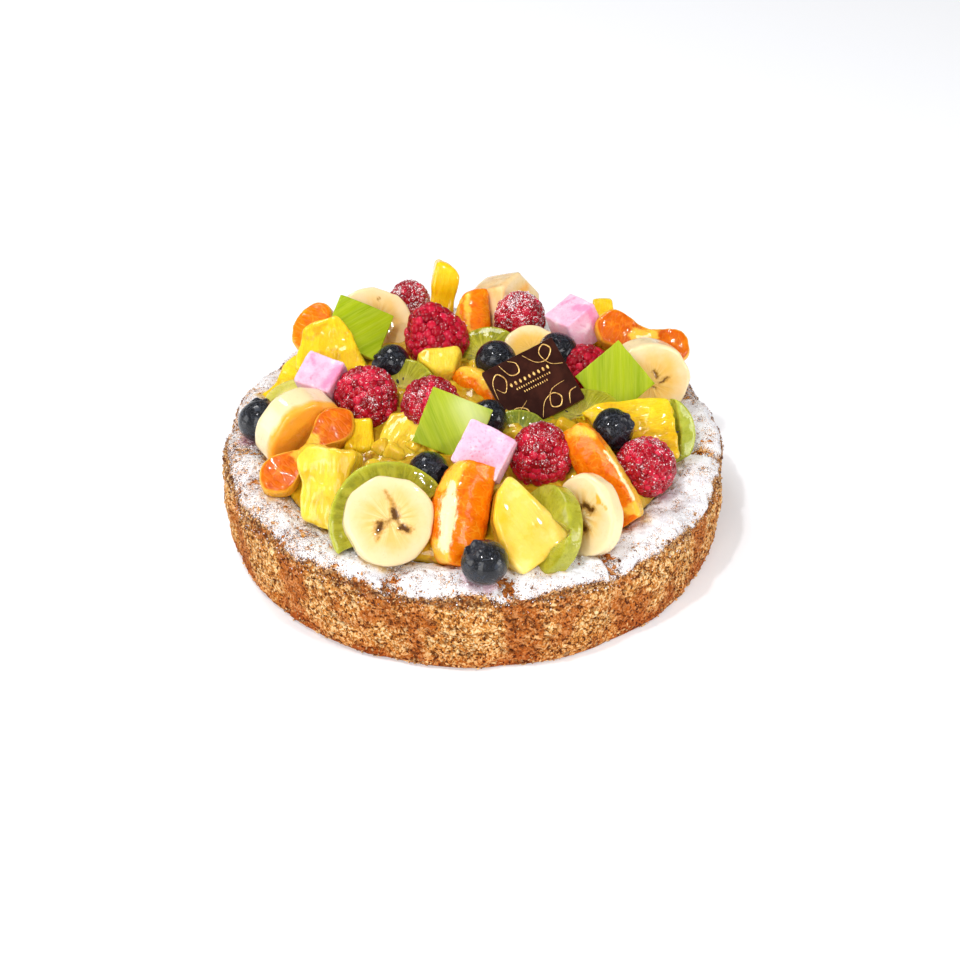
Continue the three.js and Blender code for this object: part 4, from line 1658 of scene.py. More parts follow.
@dataclass
class Blueberry(Piece):
    """A blueberry with its open crown along +Z."""
    grip: Grip = UPRIGHT
    look: Finish = BlueberryFinish("blueberry_skin")
    slot: ClassVar[str] = "blueberry"
    FLATTEN: ClassVar[float] = 0.92
    COLUMNS: ClassVar[int] = 60
    CROWN: ClassVar[tuple[tuple[float, float, float], ...]] = ((0.1, 0.7, 0.0), (0.2, 0.69, 0.0),
        (0.27, 0.71, 0.1), (0.315, 0.78, 0.5), (0.35, 0.9, 1.0), (0.39, 0.97, 1.0),
        (0.43, 0.945, 0.8), (0.465, 0.89, 0.3), (0.52, 0.835, 0.0))

    def half(self) -> tuple[float, float, float]:
        """Half sizes; the crown stands 0.98 of the radius high."""
        radius = self.width / 2
        return 0.951 * radius, radius, 0.98 * radius

    def shape(self) -> Shape:
        """A flattened ball with a five-pointed crown around a sunken floor.

        Returns:
            The surface in the piece's own axes.
        """
        turn = full_turn(self.COLUMNS)
        lobes = np.abs(np.cos(2.5 * turn + 0.3 * self.seed)) ** 0.8
        rings, crown = [], []
        for share, height, lobed in self.CROWN:
            low = height - 0.13 * lobed * (1 - lobes)
            wide = share * (1 + 0.14 * lobed * (lobes - 0.5))
            rings.append(circle(turn, wide, low))
            crown.append(1.0 if share < 0.4 else 0.6)
        for latitude in np.radians(np.linspace(56, -84, 30)):
            rings.append(circle(turn, math.cos(latitude), self.FLATTEN * math.sin(latitude)))
            crown.append(0.0)
        radius = self.width / 2
        shape = loft(np.array(rings) * radius, np.array([0, 0, 0.7 * radius]),
            np.array([0, 0, -self.FLATTEN * radius]))
        shape.marks["crown"] = np.concatenate([[1.0], np.repeat(crown, self.COLUMNS), [0.0]])
        return shape.push(0.22 * waves(shape.points, 6.0, self.seed, 2))


@dataclass(frozen=True)
class Stroke:
    """A soft mark on a face: from one place to another in millimetres, and how wide it is."""
    start: tuple[float, float]
    end: tuple[float, float]
    width: float
    strength: float = 1.0

    def laid(self, points: Array) -> Array:
        """How strongly the stroke covers each point, from 0 to its strength.

        Args:
            points: Places in millimetres.

        Returns:
            The cover at each of them.
        """
        first = np.array(self.start)
        way = np.array(self.end) - first
        share = np.clip((points[:, :2] - first) @ way / max(way @ way, 1e-06), 0, 1)
        away = length(points[:, :2] - first - share[:, None] * way)
        return self.strength * np.exp(-(away / self.width) ** 2)


Strokes = tuple[Stroke, ...]


def strokes_on(points: Array, strokes: Strokes, waver: float = 0.0) -> Array:
    """The strongest of several strokes at each point, drawn with a wavering hand.

    Args:
        points: Places in millimetres.
        strokes: The strokes.
        waver: How far the hand wavers, in millimetres.

    Returns:
        The cover at each place.
    """
    total = np.zeros(len(points))
    if waver:
        drift = np.stack([waves(points, 2.2, 301 + i, 2) for i in range(2)], axis=1)
        points = points[:, :2] + waver * drift
    for stroke in strokes:
        total = np.maximum(total, stroke.laid(points))
    return total


@dataclass
class BananaSlice(Piece):
    """A banana slice, nearly round with three soft corners."""
    spots: Strokes = ()
    glaze: Strokes = ()
    ripe: float = 0.2
    amber_face_with_painted_light: float = 0.0
    amber_rim: float = 0.0
    facets: float = 0.4
    sides: int = 9
    look: Finish = BananaFinish("banana_flesh")
    slot: ClassVar[str] = "banana"
    CORNERS: ClassVar[int] = 3
    CORNER_SHARE: ClassVar[float] = 0.025

    def half(self) -> tuple[float, float, float]:
        """Half sizes of the three-cornered outline."""
        return 1.025 * self.width / 2, 0.993 * self.width / 2, self.thickness / 2

    def outline(self) -> Array:
        """The slice's outline.

        Returns:
            The outline, anticlockwise.
        """
        turn = full_turn(72)
        wobble = 0.012 * np.sin(5 * turn + self.seed) + 0.008 * np.sin(8 * turn + 2 * self.seed)
        step = 2 * np.pi / self.sides
        inside = np.mod(turn + 0.7 * self.seed, step) - step / 2
        flat = math.cos(step / 2) / np.cos(inside) - 1
        radius = self.width / 2 * (1 + self.CORNER_SHARE * np.cos(self.CORNERS * turn) + wobble
            + self.facets * (flat + 0.03))
        return np.stack([radius * np.cos(turn), radius * np.sin(turn)], axis=1)

    def shape(self) -> Shape:
        """The slice, slightly sunken around its seeds.

        Returns:
            The surface in the piece's own axes.
        """
        shape = self.cut(slab(self.outline(), self.thickness, 1.3, 20, 5))
        away = length(self.plan(shape)[:, :2])
        dip = -0.5 * ease(away, 0.55, 0.1) * (shape.points[:, 2] > 0)
        front = ease(shape.points[:, 2], 0.1 * self.thickness, 0.4 * self.thickness)
        shape.marks["spots"] = strokes_on(shape.points, self.spots, 0.7) * front
        glaze = strokes_on(shape.points, self.glaze, 1.5)
        rim = self.amber_rim * ease(away, 0.7, 0.95)
        shape.marks["glaze"] = np.maximum(glaze, np.maximum(self.amber_face_with_painted_light * front, rim))
        shape.marks["ripe"] = self.ripe * front
        cut = -0.25 * ease(shape.marks["spots"], 0.4, 1.0)
        return shape.push(0.22 * waves(shape.points, 6.0, self.seed, 2) + dip + cut)


@dataclass
class KiwiSlice(Piece):
    """A kiwi slice or half slice."""
    half_slice: bool = False
    seeds: int = 26
    look: Finish = KiwiFinish("kiwi_flesh")
    slot: ClassVar[str] = "kiwi"

    def outline(self) -> Array:
        """The slice's outline; a half slice has its cut along X.

        Returns:
            The outline, anticlockwise.
        """
        turn = np.linspace(0, np.pi, 60) if self.half_slice else full_turn(96)
        wobble = 1 + 0.012 * np.sin(4 * turn + self.seed)
        outline = np.stack([self.width / 2 * np.cos(turn) * wobble,
            self.length / 2 * np.sin(turn) * wobble], axis=1)
        if self.half_slice:
            base = np.column_stack([np.linspace(-self.width / 2, self.width / 2, 34)[1:-1],
                np.zeros(32)])
            outline = resample(np.concatenate([outline, base]), 108)
        return outline

    def shape(self) -> Shape:
        """The slice with a softly swollen face.

        Returns:
            The surface in the piece's own axes.
        """
        shape = self.cut(slab(self.outline(), self.thickness, 0.9, 20, 5))
        away = length(self.plan(shape)[:, :2])
        swell = 0.35 * ease(away, 0.2, 0.5) * ease(away, 1.0, 0.75) - 0.15 * ease(away, 0.3, 0.1)
        face = np.abs(shape.points[:, 2]) > 0.3 * self.thickness
        return shape.push(0.25 * waves(shape.points, 5.0, self.seed, 2) + swell * face)

    def add_details(self, shape: Shape, place: Matrix) -> None:
        """Sets small dark seeds in a ring around the core.

        Args:
            shape: The slice.
            place: Its frame in millimetres.
        """
        if not self.seeds:
            return
        rng = np.random.default_rng(self.seed)
        reach = np.pi if self.half_slice else 2 * np.pi
        angle = reach * (np.arange(self.seeds) + rng.uniform(0.1, 0.9, self.seeds)) / self.seeds
        away = rng.uniform(0.3, 0.5, self.seeds)
        side = np.where(np.arange(self.seeds) % 5 < 4, 1.0, -1.0)
        places = np.stack([away * self.width / 2 * np.cos(angle),
            away * self.length / 2 * np.sin(angle), side * (self.thickness / 2 + 0.1)], axis=1)
        turns = np.array([Matrix.Rotation(value, 3, "Z") for value in angle])
        sizes = np.array([0.85, 0.42, 0.3]) * rng.uniform(0.75, 1.15, (self.seeds, 1))
        seeds = stamp(ball(8, 5), places, turns, sizes, rng.uniform(0, 1, self.seeds))
        dress(f"{self.node}_seeds", seeds, KIWI_SEED, self.slot, place)


@dataclass
class Chunk(Piece):
    """A chunk of pineapple or mango: a block that narrows to one end."""
    rounding: float = 1.6
    rough: float = 0.5
    eyes: Strokes = ()
    corners: tuple[tuple[float, float], ...] = ()
    wear: int = 5
    look: Finish = GOLDEN_PINEAPPLE
    TAPER: ClassVar[float] = 0.7
    BULGE: ClassVar[float] = 0.1

    def outline(self) -> Array:
        """The outline of the chunk's face, its corners softened.

        Returns:
            The outline, anticlockwise.
        """
        if self.corners:
            return rounded(np.array(self.corners), 84, self.wear)
        half, end = self.width / 2, self.length / 2
        nose, tail = -end - self.BULGE * self.length, half * self.TAPER
        corners = np.array([[-half, -end], [-half / 3, nose], [half / 3, nose], [half, -end],
            [tail, end], [-tail, end]])
        return resample(soften(resample(corners, 40), 2), 84)

    def shape(self) -> Shape:
        """The chunk with fibrous, slightly torn faces.

        Returns:
            The surface in the piece's own axes.
        """
        shape = self.cut(slab(self.outline(), self.thickness, self.rounding, 18, 9))
        shape.marks["eyes"] = strokes_on(shape.points, self.eyes)
        along = shape.points * np.array([1.0, 0.35, 1.0])
        edge = ease(np.abs(self.plan(shape)).max(axis=1), 0.7, 1.0)
        facet = np.abs(waves(shape.points, 8.0, self.seed + 9))
        height = 0.8 * waves(shape.points, 9.0, self.seed,
            2) + 1.2 * (0.3 - facet) + 0.3 * waves(along, 2.4, self.seed + 5,
            2) * (0.4 + 1.2 * edge)
        return shape.push(self.rough * height)


@dataclass
class PineappleChunk(Chunk):
    """A wedge cut from a ring of pineapple."""
    slot: ClassVar[str] = "pineapple"


@dataclass
class MangoChunk(Chunk):
    """A smooth wedge of mango."""
    rough: float = 0.3
    slot: ClassVar[str] = "mango"


@dataclass
class Segment(Piece):
    """A mandarin segment: a half moon along X with its thin inner edge at -Y."""
    pith: Strokes = ()
    tint: Strokes = ()
    sharpness: int = 3
    ends: tuple[float, float] = (-1.0, 1.0)
    fullness: float = 0.7
    bend: float = 0.25
    section: tuple[tuple[float, float], ...] = ((0, 0), (0.35, 0.78), (0.8, 1.08), (1.04, 0),
        (0.8, -1.08), (0.35, -0.78))
    look: Finish = MandarinFinish("mandarin_flesh")
    slot: ClassVar[str] = "mandarin"

    def half(self) -> tuple[float, float, float]:
        """Half sizes; the middle of the solid's back is a little inside the full depth."""
        return self.width / 2, 0.488 * self.length, 0.985 * self.thickness / 2

    def shape(self) -> Shape:
        """The segment with its juice sacs swelling under the skin.

        Returns:
            The surface in the piece's own axes.
        """
        section = resample(soften(np.array(self.section), self.sharpness), 44)
        section = np.roll(section, -int(np.argmin(section[:, 0])), axis=0)
        if section[1, 1] < section[-1, 1]:
            section = section[::-1]
        rings = []
        for angle in np.linspace(-0.5, 0.5, 48)[1:-1] * math.pi:
            along = min(max(math.sin(angle), self.ends[0]), self.ends[1])
            plump = math.cos(math.asin(along))
            swell = plump ** self.fullness * math.cos(angle) / plump
            y = self.length * (section[:, 0] * swell - 0.5 + self.bend * (1 - swell))
            z = section[:, 1] * self.thickness / 2 * swell
            rings.append(np.stack([np.full(len(y), along * self.width / 2), y, z], axis=1))
        pole = self.length * (self.bend - 0.35)
        first, last = (np.array([end * self.width / 2, pole, 0]) for end in self.ends)
        shape = loft(np.array(rings), first, last)
        shape.marks["rim"] = np.zeros(len(shape.points))
        return self.swollen(shape)

    def swollen(self, shape: Shape) -> Shape:
        """Marks the pith and the membrane, and pushes the juice sacs out.

        Args:
            shape: The smooth segment.

        Returns:
            The same segment with its sacs.
        """
        front = shape.points[:, 2] > 0
        shape.marks["pith"] = strokes_on(shape.points, self.pith, 0.6) * front
        shape.marks["tint"] = strokes_on(shape.points, self.tint, 1.0) * front
        sacs = shape.points * np.array([1.0, 0.36, 0.8])
        nearest, _ = cells(sacs, 1.9, self.seed)
        bumps = 0.26 * ease(nearest, 0.75, 0.1)
        return shape.push(bumps - 0.2 + 0.35 * waves(shape.points, 7.0, self.seed, 2)
            + 0.25 * shape.marks["pith"])


@dataclass
class OpenedSegment(Segment):
    """A mandarin segment cut along its back and opened: two lobes that join at a waist."""
    waist: float = 0.3
    lobes: float = 0.55
    look: Finish = DEEP_MANDARIN
    grip: Grip = MIDDLES

    def half(self) -> tuple[float, float, float]:
        """Half sizes of the two-lobed outline."""
        reach = 0.85 if self.lobes else 1.0
        return self.width / 2, reach * self.length / 2, self.thickness / 2

    def shape(self) -> Shape:
        """Two plump lobes.

        Returns:
            The surface in the piece's own axes.
        """
        turn = full_turn(112)
        pinch = self.waist + (1 - self.waist) * np.cos(turn) ** 2
        swell = self.lobes * np.sin(2 * turn) ** 2
        outline = np.stack([self.width / 2 * np.cos(turn),
            self.length / 2 * np.sin(turn) * (pinch + swell)], axis=1)
        shape = slab(outline, self.thickness, 2.0, 18, 5)
        away = length(shape.points[:, None, :2] - outline[None]).min(axis=1)
        shape.marks["rim"] = ease(away, 0.9, 0.3)
        return self.swollen(shape)


@dataclass
class Marshmallow(Piece):
    """A soft cut cube of marshmallow."""
    grip: Grip = MIDDLES
    part: ClassVar[str] = "cube"
    look: Finish = MarshmallowFinish("marshmallow_foam")
    slot: ClassVar[str] = "marshmallow"
    stains: Strokes = ()

    def shape(self) -> Shape:
        """A block with soft edges, slightly bellied sides and open pores.

        Returns:
            The surface in the piece's own axes.
        """
        outline = rounded(box(*self.half()[:2]), 100, 3)
        shape = slab(outline, self.thickness, 0.8, 22, 16)
        nearest, _ = cells(shape.points * (1 + 0.08 * waves(shape.points, 2.0, 8)[:, None]), 1.1,
            self.seed)
        pore = ease(nearest, 0.38, 0.16) * ease(waves(shape.points, 3.0, self.seed), -0.2, 0.4)
        # The pore mark also paints shade into the pores in the finish.
        shape.marks["pore"] = 0.8 * pore
        shape.marks["stain"] = strokes_on(shape.points, self.stains)
        return shape.push(0.3 * waves(shape.points, 7.0, self.seed, 3) - 0.35 * pore)


@dataclass
class ChocolatePlate(Piece):
    """A thin square-edged plate of chocolate."""
    grip: Grip = MIDDLES
    part: ClassVar[str] = "plate"
    bend: float = 0.0
    grain: float = 90.0
    bloom: Strokes = ()

    def shape(self) -> Shape:
        """The plate, very slightly warped, with its cut edge marked.

        Returns:
            The surface in the piece's own axes.
        """
        half_x, half_y, half_z = self.half()
        shape = slab(resample(box(half_x, half_y), 96), self.thickness, 0.22, 16, 3)
        edge = np.abs(shape.points[:, 2]) < half_z - 0.05
        shape.marks["cut"] = edge.astype(float)
        # The bloom strokes mark a painted pale sheen, a painted highlight.
        shape.marks["bloom"] = strokes_on(shape.points, self.bloom)
        spin = np.array(Matrix.Rotation(math.radians(90 - self.grain), 3, "Z"))
        shape.marks["run"] = shape.points @ spin.T
        flat = shape.points[:, :2]
        lift = self.bend * (flat[:, 0] / half_x) ** 2 + 0.1 * waves(
            np.column_stack([flat, np.zeros(len(flat))]), 9.0, self.seed)
        shape.points[:, 2] += lift
        jag = 0.12 * waves(shape.points, 1.6, self.seed + 3) * edge
        shape.points[:, :2] *= 1 + (jag / np.maximum(length(flat), 1))[:, None]
        return shape


@dataclass
class GreenSquare(ChocolatePlate):
    """A green chocolate square."""
    look: Finish = GreenChocolateFinish("green_plate")
    slot: ClassVar[str] = "green_chocolate"


@dataclass
class Plaque(ChocolatePlate):
    """The dark chocolate plaque, printed with plain gold scrolls and dots."""
    look: Finish = DarkChocolateFinish("dark_plate")
    slot: ClassVar[str] = "dark_chocolate"
    scrolls: tuple[tuple[tuple[float, float], ...], ...] = (
        ((-13.2, 1.0), (-12.4, 6.8), (-9.6, 9.4), (-7.6, 6.2), (-9.8, 2.2), (-12.0, 4.6)),
        ((-7.4, 11.8), (-5.4, 7.0), (-2.2, 6.6), (-1.6, 9.8), (-4.0, 11.9)),
        ((1.6, 11.4), (4.8, 7.0), (8.6, 6.2), (11.6, 9.0), (9.8, 11.6), (7.2, 9.2), (9.0, 4.4),
            (13.0, 2.4)),
        ((-13.2, -7.6), (-9.8, -4.6), (-6.0, -6.6), (-6.6, -10.2), (-9.8, -10.6), (-10.4, -7.6),
            (-4.6, -3.8)),
        ((-2.4, -11.8), (0.6, -7.2), (4.6, -5.6), (6.8, -8.0), (5.0, -10.8), (2.2, -9.4),
            (4.8, -4.4), (10.4, -3.4)),
        ((8.4, -11.8), (10.2, -8.0), (13.0, -7.4)),
    )
    rows: tuple[tuple[float, float, float, int, float], ...] = ((-6.8, 3.6, 7.6, 9, 0.8),
        (-5.6, 1.4, 7.2, 15, 0.42), (-3.6, -0.5, 5.2, 11, 0.42))

    def add_details(self, shape: Shape, place: Matrix) -> None:
        """Prints the scrolls and rows of dots in gold.

        Args:
            shape: The plaque.
            place: Its frame in millimetres.
        """
        top = self.thickness / 2 + 0.02
        prints = []
        for corners in self.scrolls:
            line = smooth_line(list(corners), 9 * len(corners))
            path = np.column_stack([line, np.full(len(line), top)])
            share = np.linspace(0, 1, len(line))
            prints.append(tube(path, 0.09 + 0.15 * np.sin(math.pi * share) ** 2, 6, 0.35))
        for start, height, end, count, size in self.rows:
            spread = np.linspace(start, end, count)
            places = np.column_stack([spread, np.full(count, height), np.full(count, top)])
            sizes = np.full((count, 3), size) * np.array([0.55, 1.0, 0.12])
            turns = np.repeat(np.eye(3)[None], count, axis=0)
            dots = stamp(ball(10, 5), places, turns, sizes)
            prints.append(Shape(dots.points, dots.faces))
        dress(f"{self.node}_print", Shape.join(prints), GoldFinish("gold_print"), self.slot, place)


# ---------------------------------------- sponge, sugar and custard


@dataclass
class Sponge:
    """The baked nut sponge with its border of piped blobs, its icing sugar and its crumbs.

    The profile runs from the inner lip over the rim to the foot: radius, height, and how much of
    the blobs' bulge and rise each place shows.
    """
    blobs: int = 14
    rise: float = 2.5
    bulge: float = 1.7
    skew: float = 1.8
    columns: int = 780
    sugar_columns: int = 900
    profile: tuple[tuple[float, float, float, float], ...] = ((70.5, 31.2, 0, 0),
        (72.0, 32.4, 0, 0.2), (74.5, 33.8, 0, 0.6), (78.0, 35.1, 0.1, 1), (81.0, 35.3, 0.4, 1),
        (84.0, 34.9, 0.8, 1), (86.3, 33.9, 1, 0.9), (87.9, 32.2, 1, 0.7), (88.7, 30.0, 1, 0.4),
        (89.0, 25.0, 1, 0), (88.6, 18.0, 1, 0), (87.9, 11.0, 1, 0), (87.2, 4.0, 0.8, 0),
        (86.6, 1.4, 0.6, 0), (85.6, 0.4, 0.4, 0), (84.0, 0.05, 0.3, 0))

    def share(self, angle: Array) -> Array:
        """How far up a piped blob: 0 in a crease and 1 on the crown.

        Args:
            angle: The way round, in radians.

        Returns:
            A number from 0 to 1 for each angle.
        """
        wander = 0.85 + 0.54 * np.exp(20 * (np.cos(angle - 3.84) - 1)) + 0.15 * np.sin(3
            * angle) * (1 + np.sin(angle))
        phase = np.mod(self.blobs * angle / 2 + wander, np.pi) / np.pi
        return np.sqrt(np.abs(np.sin(np.pi * phase ** self.skew)))

    def walked(self) -> Array:
        """Distance along the profile to each of its places."""
        return distances(np.array(self.profile)[:, :2])

    def skin(self, angle: Array, walk: Array) -> tuple[Array, Array]:
        """The smooth surface of the sponge.

        Args:
            angle: The way round, in radians.
            walk: The distance along the profile from its inner lip.

        Returns:
            The places and the outward directions.
        """
        table = np.array(self.profile)
        walked = self.walked()

        def along(at: Array) -> list[Array]:
            """The profile's four values at each distance."""
            return [np.interp(at, walked, table[:, i]) for i in range(4)]

        before, here, after = (along(walk + step) for step in (-1.2, 0.0, 1.2))
        radius, height, bulge, rise = ((a + 2 * b + c) / 4 for a, b, c in zip(before, here, after))
        low = 1 - self.share(angle)
        radius = radius - bulge * self.bulge * low
        height = np.maximum(height - rise * self.rise * low, 0.05)
        way = np.stack([before[1] - after[1], after[0] - before[0]])
        way = -way / np.maximum(np.linalg.norm(way, axis=0), 1e-06)
        out, up = -way[0], -way[1]
        flat = np.stack([np.cos(angle), np.sin(angle)], axis=-1)
        places = np.concatenate([radius[..., None] * flat, height[..., None]], axis=-1)
        outward = np.concatenate([out[..., None] * flat, up[..., None]], axis=-1)
        return places, outward

    def lumps(self, points: Array) -> Array:
        """The sponge's broad unevenness."""
        return 0.45 * waves(points, 15.0, 3) + 0.4 * waves(points, 6.0, 5) + 0.28 * waves(points,
            2.6, 9)

    def crust(self) -> Shape:
        """The crust with its pores.

        Returns:
            The crust as a closed shape.
        """
        walked = self.walked()
        walk = np.concatenate([np.linspace(0, 16, 22, endpoint=False),
            np.linspace(16, walked[-1], 74)])
        angles, walks = np.meshgrid(full_turn(self.columns), walk)
        places, outward = self.skin(angles, walks)
        points = places.reshape(-1, 3)
        out = outward.reshape(-1, 3)
        nearest, second = cells(points * np.array([1, 1, 1.25]), 2.1, 21)
        fine, _ = cells(points, 1.15, 33)
        region = waves(points, 4.0, 41)
        region = region + 0.35 * ease(points[:, 2], 16, 30)
        pore = ease(nearest, 0.46, 0.2) * ease(region, -0.25, 0.25)
        pit = ease(fine, 0.4, 0.18) * ease(waves(points, 2.5, 43), 0.0, 0.4)
        height = self.lumps(points) + 0.28 * ease(second - nearest, 0.0, 0.5) + 0.3 * waves(points,
            1.3, 11) - 1.15 * pore - 0.45 * pit
        foot = ease(points[:, 2], 0.3, 3.0)
        moved_points = points + out * (height * foot)[:, None]
        moved_points[:, 2] = np.maximum(moved_points[:, 2], 0.02)
        rings = moved_points.reshape(len(walk), self.columns, 3)
        floor, ground = np.full(self.columns, 31.0), np.full(self.columns, 0.02)
        inner = [np.column_stack([rings[0][:, :2] * s, floor]) for s in (0.3, 0.7)]
        base = [np.column_stack([rings[-1][:, :2] * s, ground]) for s in (0.7, 0.3)]
        shape = loft(np.concatenate([inner, rings, base]), np.array([0, 0, floor[0]]),
            np.array([0, 0, ground[0]]))

        def full(values: Array) -> Array:
            """The values of the rings, with 0 on the poles and the plain rings."""
            pad = np.zeros(1 + 2 * self.columns)
            return np.concatenate([pad, values, pad])

        slanted = self.share(angles.ravel() + 0.0035 * (points[:, 2] - 30))
        torn = 0.25 * waves(points * np.array([1, 1, 0.6]), 7.0, 55, 3)
        band = ease(1 - slanted + torn, 0.3, 0.8)
        band = band * (1 - 0.45 * ease(np.maximum(points[:, 0], points[:, 1]), 10, 60))
        band = band + 0.5 * ease(waves(points * np.array([1, 1, 0.4]), 13.0, 51, 2), 0.15, 0.7)
        # Painted shade: the band grows towards the bottom, darkening the lower crust as shade.
        band = band + 0.4 * ease(points[:, 2], 9, 1)
        ragged = 1.1 * waves(points, 6.0, 53, 2)
        edge = ease(walks.ravel() + ragged, 16.5, 19.5) * ease(walks.ravel() + ragged, 24.5, 21.0)
        low = ease(points[:, 2] + ragged, 2.6, 0.6)
        # Painted shade: the foot mark darkens the lower crust, from 13 mm down, as shade.
        shape.marks["foot"] = full(ease(points[:, 2] + 1.5 * ragged, 13, 1))
        # The pore mark also paints shade into the pores and pits in the crumb finish.
        shape.marks["pore"] = full(np.clip(pore + 0.8 * pit, 0, 1))
        shape.marks["band"] = full(np.clip(band, 0, 1))
        shape.marks["scorch"] = full(np.clip(edge + 0.8 * low, 0, 1))
        return shape

    def sugar_edge(self, angle: Array) -> Array:
        """How far over the rim the icing sugar reaches, along the profile.

        Args:
            angle: The way round, in radians.

        Returns:
            A distance from the inner lip for each angle.
        """
        rim = circle(angle, 88, 0)
        wavy = 1.1 * waves(rim, 12.0, 61, 2) + 0.6 * waves(rim, 2.6, 63, 2)
        runs = 3.2 * (1 - self.share(angle)) ** 1.3
        left = 1.2 * ease(-rim[:, 0], 10, 80) * ease(-rim[:, 1], -60, 30)
        return 20.2 + wavy + runs - left

    def sugar(self, berries: KDTree, syrup: KDTree) -> Shape:
        """The coat of icing sugar.

        Args:
            berries: Places on the berries, which stain it pink.
            syrup: Places on the glazed fruit, which stain it amber.

        Returns:
            The coat as a closed band.
        """
        angle = full_turn(self.sugar_columns)
        edge = self.sugar_edge(angle)
        shares = np.linspace(0, 1, 44)
        walks = 0.4 + shares[:, None] * (edge + 0.6 - 0.4)
        angles = np.broadcast_to(angle, walks.shape)
        places, outward = self.skin(angles, walks)
        points = places.reshape(-1, 3)
        out = outward.reshape(-1, 3)
        inside = (np.broadcast_to(edge, walks.shape) - walks).ravel()
        rim = ease(inside, -0.3, 1.8)
        left = ease(-points[:, 0], 20, 75)
        crease = ease(1 - self.share(angles.ravel()), 0.45, 0.85) * ease(walks.ravel(), 5, 10)
        patch = ease(waves(points, 9.0, 71, 3) - 0.25 * left - 1.1 * crease, -1.5, -0.45)
        crumb = ease(waves(points, 2.2, 73, 2), -0.7, 0.2)
        depth = rim * (0.3 + 0.7 * patch) * (0.6 + 0.4 * crumb)
        nearest, _ = cells(points, 1.8, 95)
        pit = ease(nearest, 0.44, 0.18) * ease(waves(points, 5.0, 97), -0.2, 0.35)
        peak = ease(np.abs(waves(points, 13.0, 87)), 0.22, 0.0) * ease(points[:, 0], 15, 60)
        height = self.lumps(points) + 0.8 * depth - 0.22 + 0.2 * waves(points, 1.1,
            79) - 0.5 * pit * depth + (0.25 * waves(points, 3.4, 81) + 0.8 * peak) * depth
        upper = points + out * height[:, None]
        lower = points + out * (self.lumps(points) - 0.8)[:, None]
        rows = len(shares)
        top = upper.reshape(rows, -1, 3)
        bottom = lower.reshape(rows, -1, 3)[::-1][::8]
        shape = hoop(np.concatenate([top, bottom]))
        thin = 1 - np.clip(depth - 0.5 * pit, 0, 1)
        under = np.ones(bottom.shape[0] * bottom.shape[1])
        shape.marks["thin"] = np.concatenate([thin, under])
        border = 1.2 * ease(inside, 4.0, 0.0) ** 1.5
        front = ease(-points[:, 1], 20, 75)
        back = ease(points[:, 1], 0, 45) * ease(points[:, 0], 30, 75)
        right = ease(points[:, 0], 20, 70)
        dirt = np.max([0.9 * left, 0.3 * front, 0.45 * right, 1.6 * back], axis=0)
        dirt = dirt + border + 0.4 * waves(points, 7.0, 89, 2)
        shape.marks["speckle"] = np.concatenate([np.clip(dirt, -0.5, 2.0), under])
        spread = waves(upper, 5.0, 83, 2)
        stains = {}
        for name, tree, reach in ("berry_stain", berries, 3.2), ("syrup_stain", syrup, 2.6):
            away = np.array([tree.find(point)[2] for point in upper])
            stains[name] = ease(away + 1.8 * spread, reach, 0.2)
            shape.marks[name] = np.concatenate([stains[name], 0 * under])
        return shape

    def crumbs(self, rng: Random) -> Shape:
        """Loose crumbs: over the side, crowded along the top edge, few on the sugar.

        Args:
            rng: Source of the random draws.

        Returns:
            The crumbs as one shape.
        """
        walked = self.walked()
        counts, footed, crowded = (2500, 2300, 1500), 700, 900
        side = rng.uniform(21, walked[-1] - 1, counts[0])
        side[:footed] = rng.uniform(walked[-1] - 6, walked[-1] - 1.5, footed)
        top = rng.normal(20.0, 1.7, counts[1])
        loose = rng.triangular(4, 19.5, 19.5, counts[2])
        walk = np.concatenate([side, top, loose])
        angle = rng.uniform(0, 2 * np.pi, len(walk))
        angle[-crowded:] = rng.uniform(0.9, 1.6, crowded) * np.pi
        places, outward = self.skin(angle, walk)
        lift = np.concatenate([rng.uniform(-0.25, 0.2, counts[0]),
            rng.uniform(0.0, 0.55, counts[1]), rng.uniform(0.5, 1.0, counts[2])])
        places = places + outward * (self.lumps(places) + lift)[:, None]
        places[:, 2] = np.maximum(places[:, 2], 0.8)
        size = rng.lognormal(-1.25, 0.36, len(walk)).clip(0.14, 0.62)
        size[:footed] *= 1.5
        size[-counts[2]:] *= 0.5
        sizes = size[:, None] * rng.uniform((0.8, 0.5, 0.5), (1.8, 1.0, 0.9), (len(walk), 3))
        tones = np.concatenate([rng.uniform(0.25, 0.95, counts[0]),
            rng.uniform(0.0, 0.75, counts[1]) ** 1.3, rng.uniform(0.1, 0.7, counts[2])])
        return stamp(pebble(rng, 5, 2), places, turns_to(outward, rng), sizes, tones)

    def grains(self, coat: Shape, rng: Random) -> Shape:
        """Small clumps of sugar on the coat and just past its edge.

        Args:
            coat: The coat of sugar.
            rng: Source of the random draws.

        Returns:
            The clumps as one shape.
        """
        keep = ease(coat.normals()[:, 2], 0.1, 0.8)
        places, outward = coat.scatter(2600, rng, keep)
        spilt = 900
        walk = rng.normal(22.0, 2.4, spilt).clip(18, self.walked()[-1] - 2)
        spill, spill_out = self.skin(rng.uniform(0, 2 * np.pi, spilt), walk)
        spill = spill + spill_out * (self.lumps(spill) + 0.25)[:, None]
        places = np.concatenate([places, spill])
        outward = np.concatenate([outward, spill_out])
        size = rng.lognormal(-1.5, 0.4, len(places)).clip(0.1, 0.55)
        size[-spilt:] *= 0.7
        sizes = size[:, None] * rng.uniform(0.7, 1.2, (len(places), 3))
        return stamp(pebble(rng, 4, 2), places, turns_to(outward, rng), sizes,
            rng.uniform(0.5, 1, len(places)))

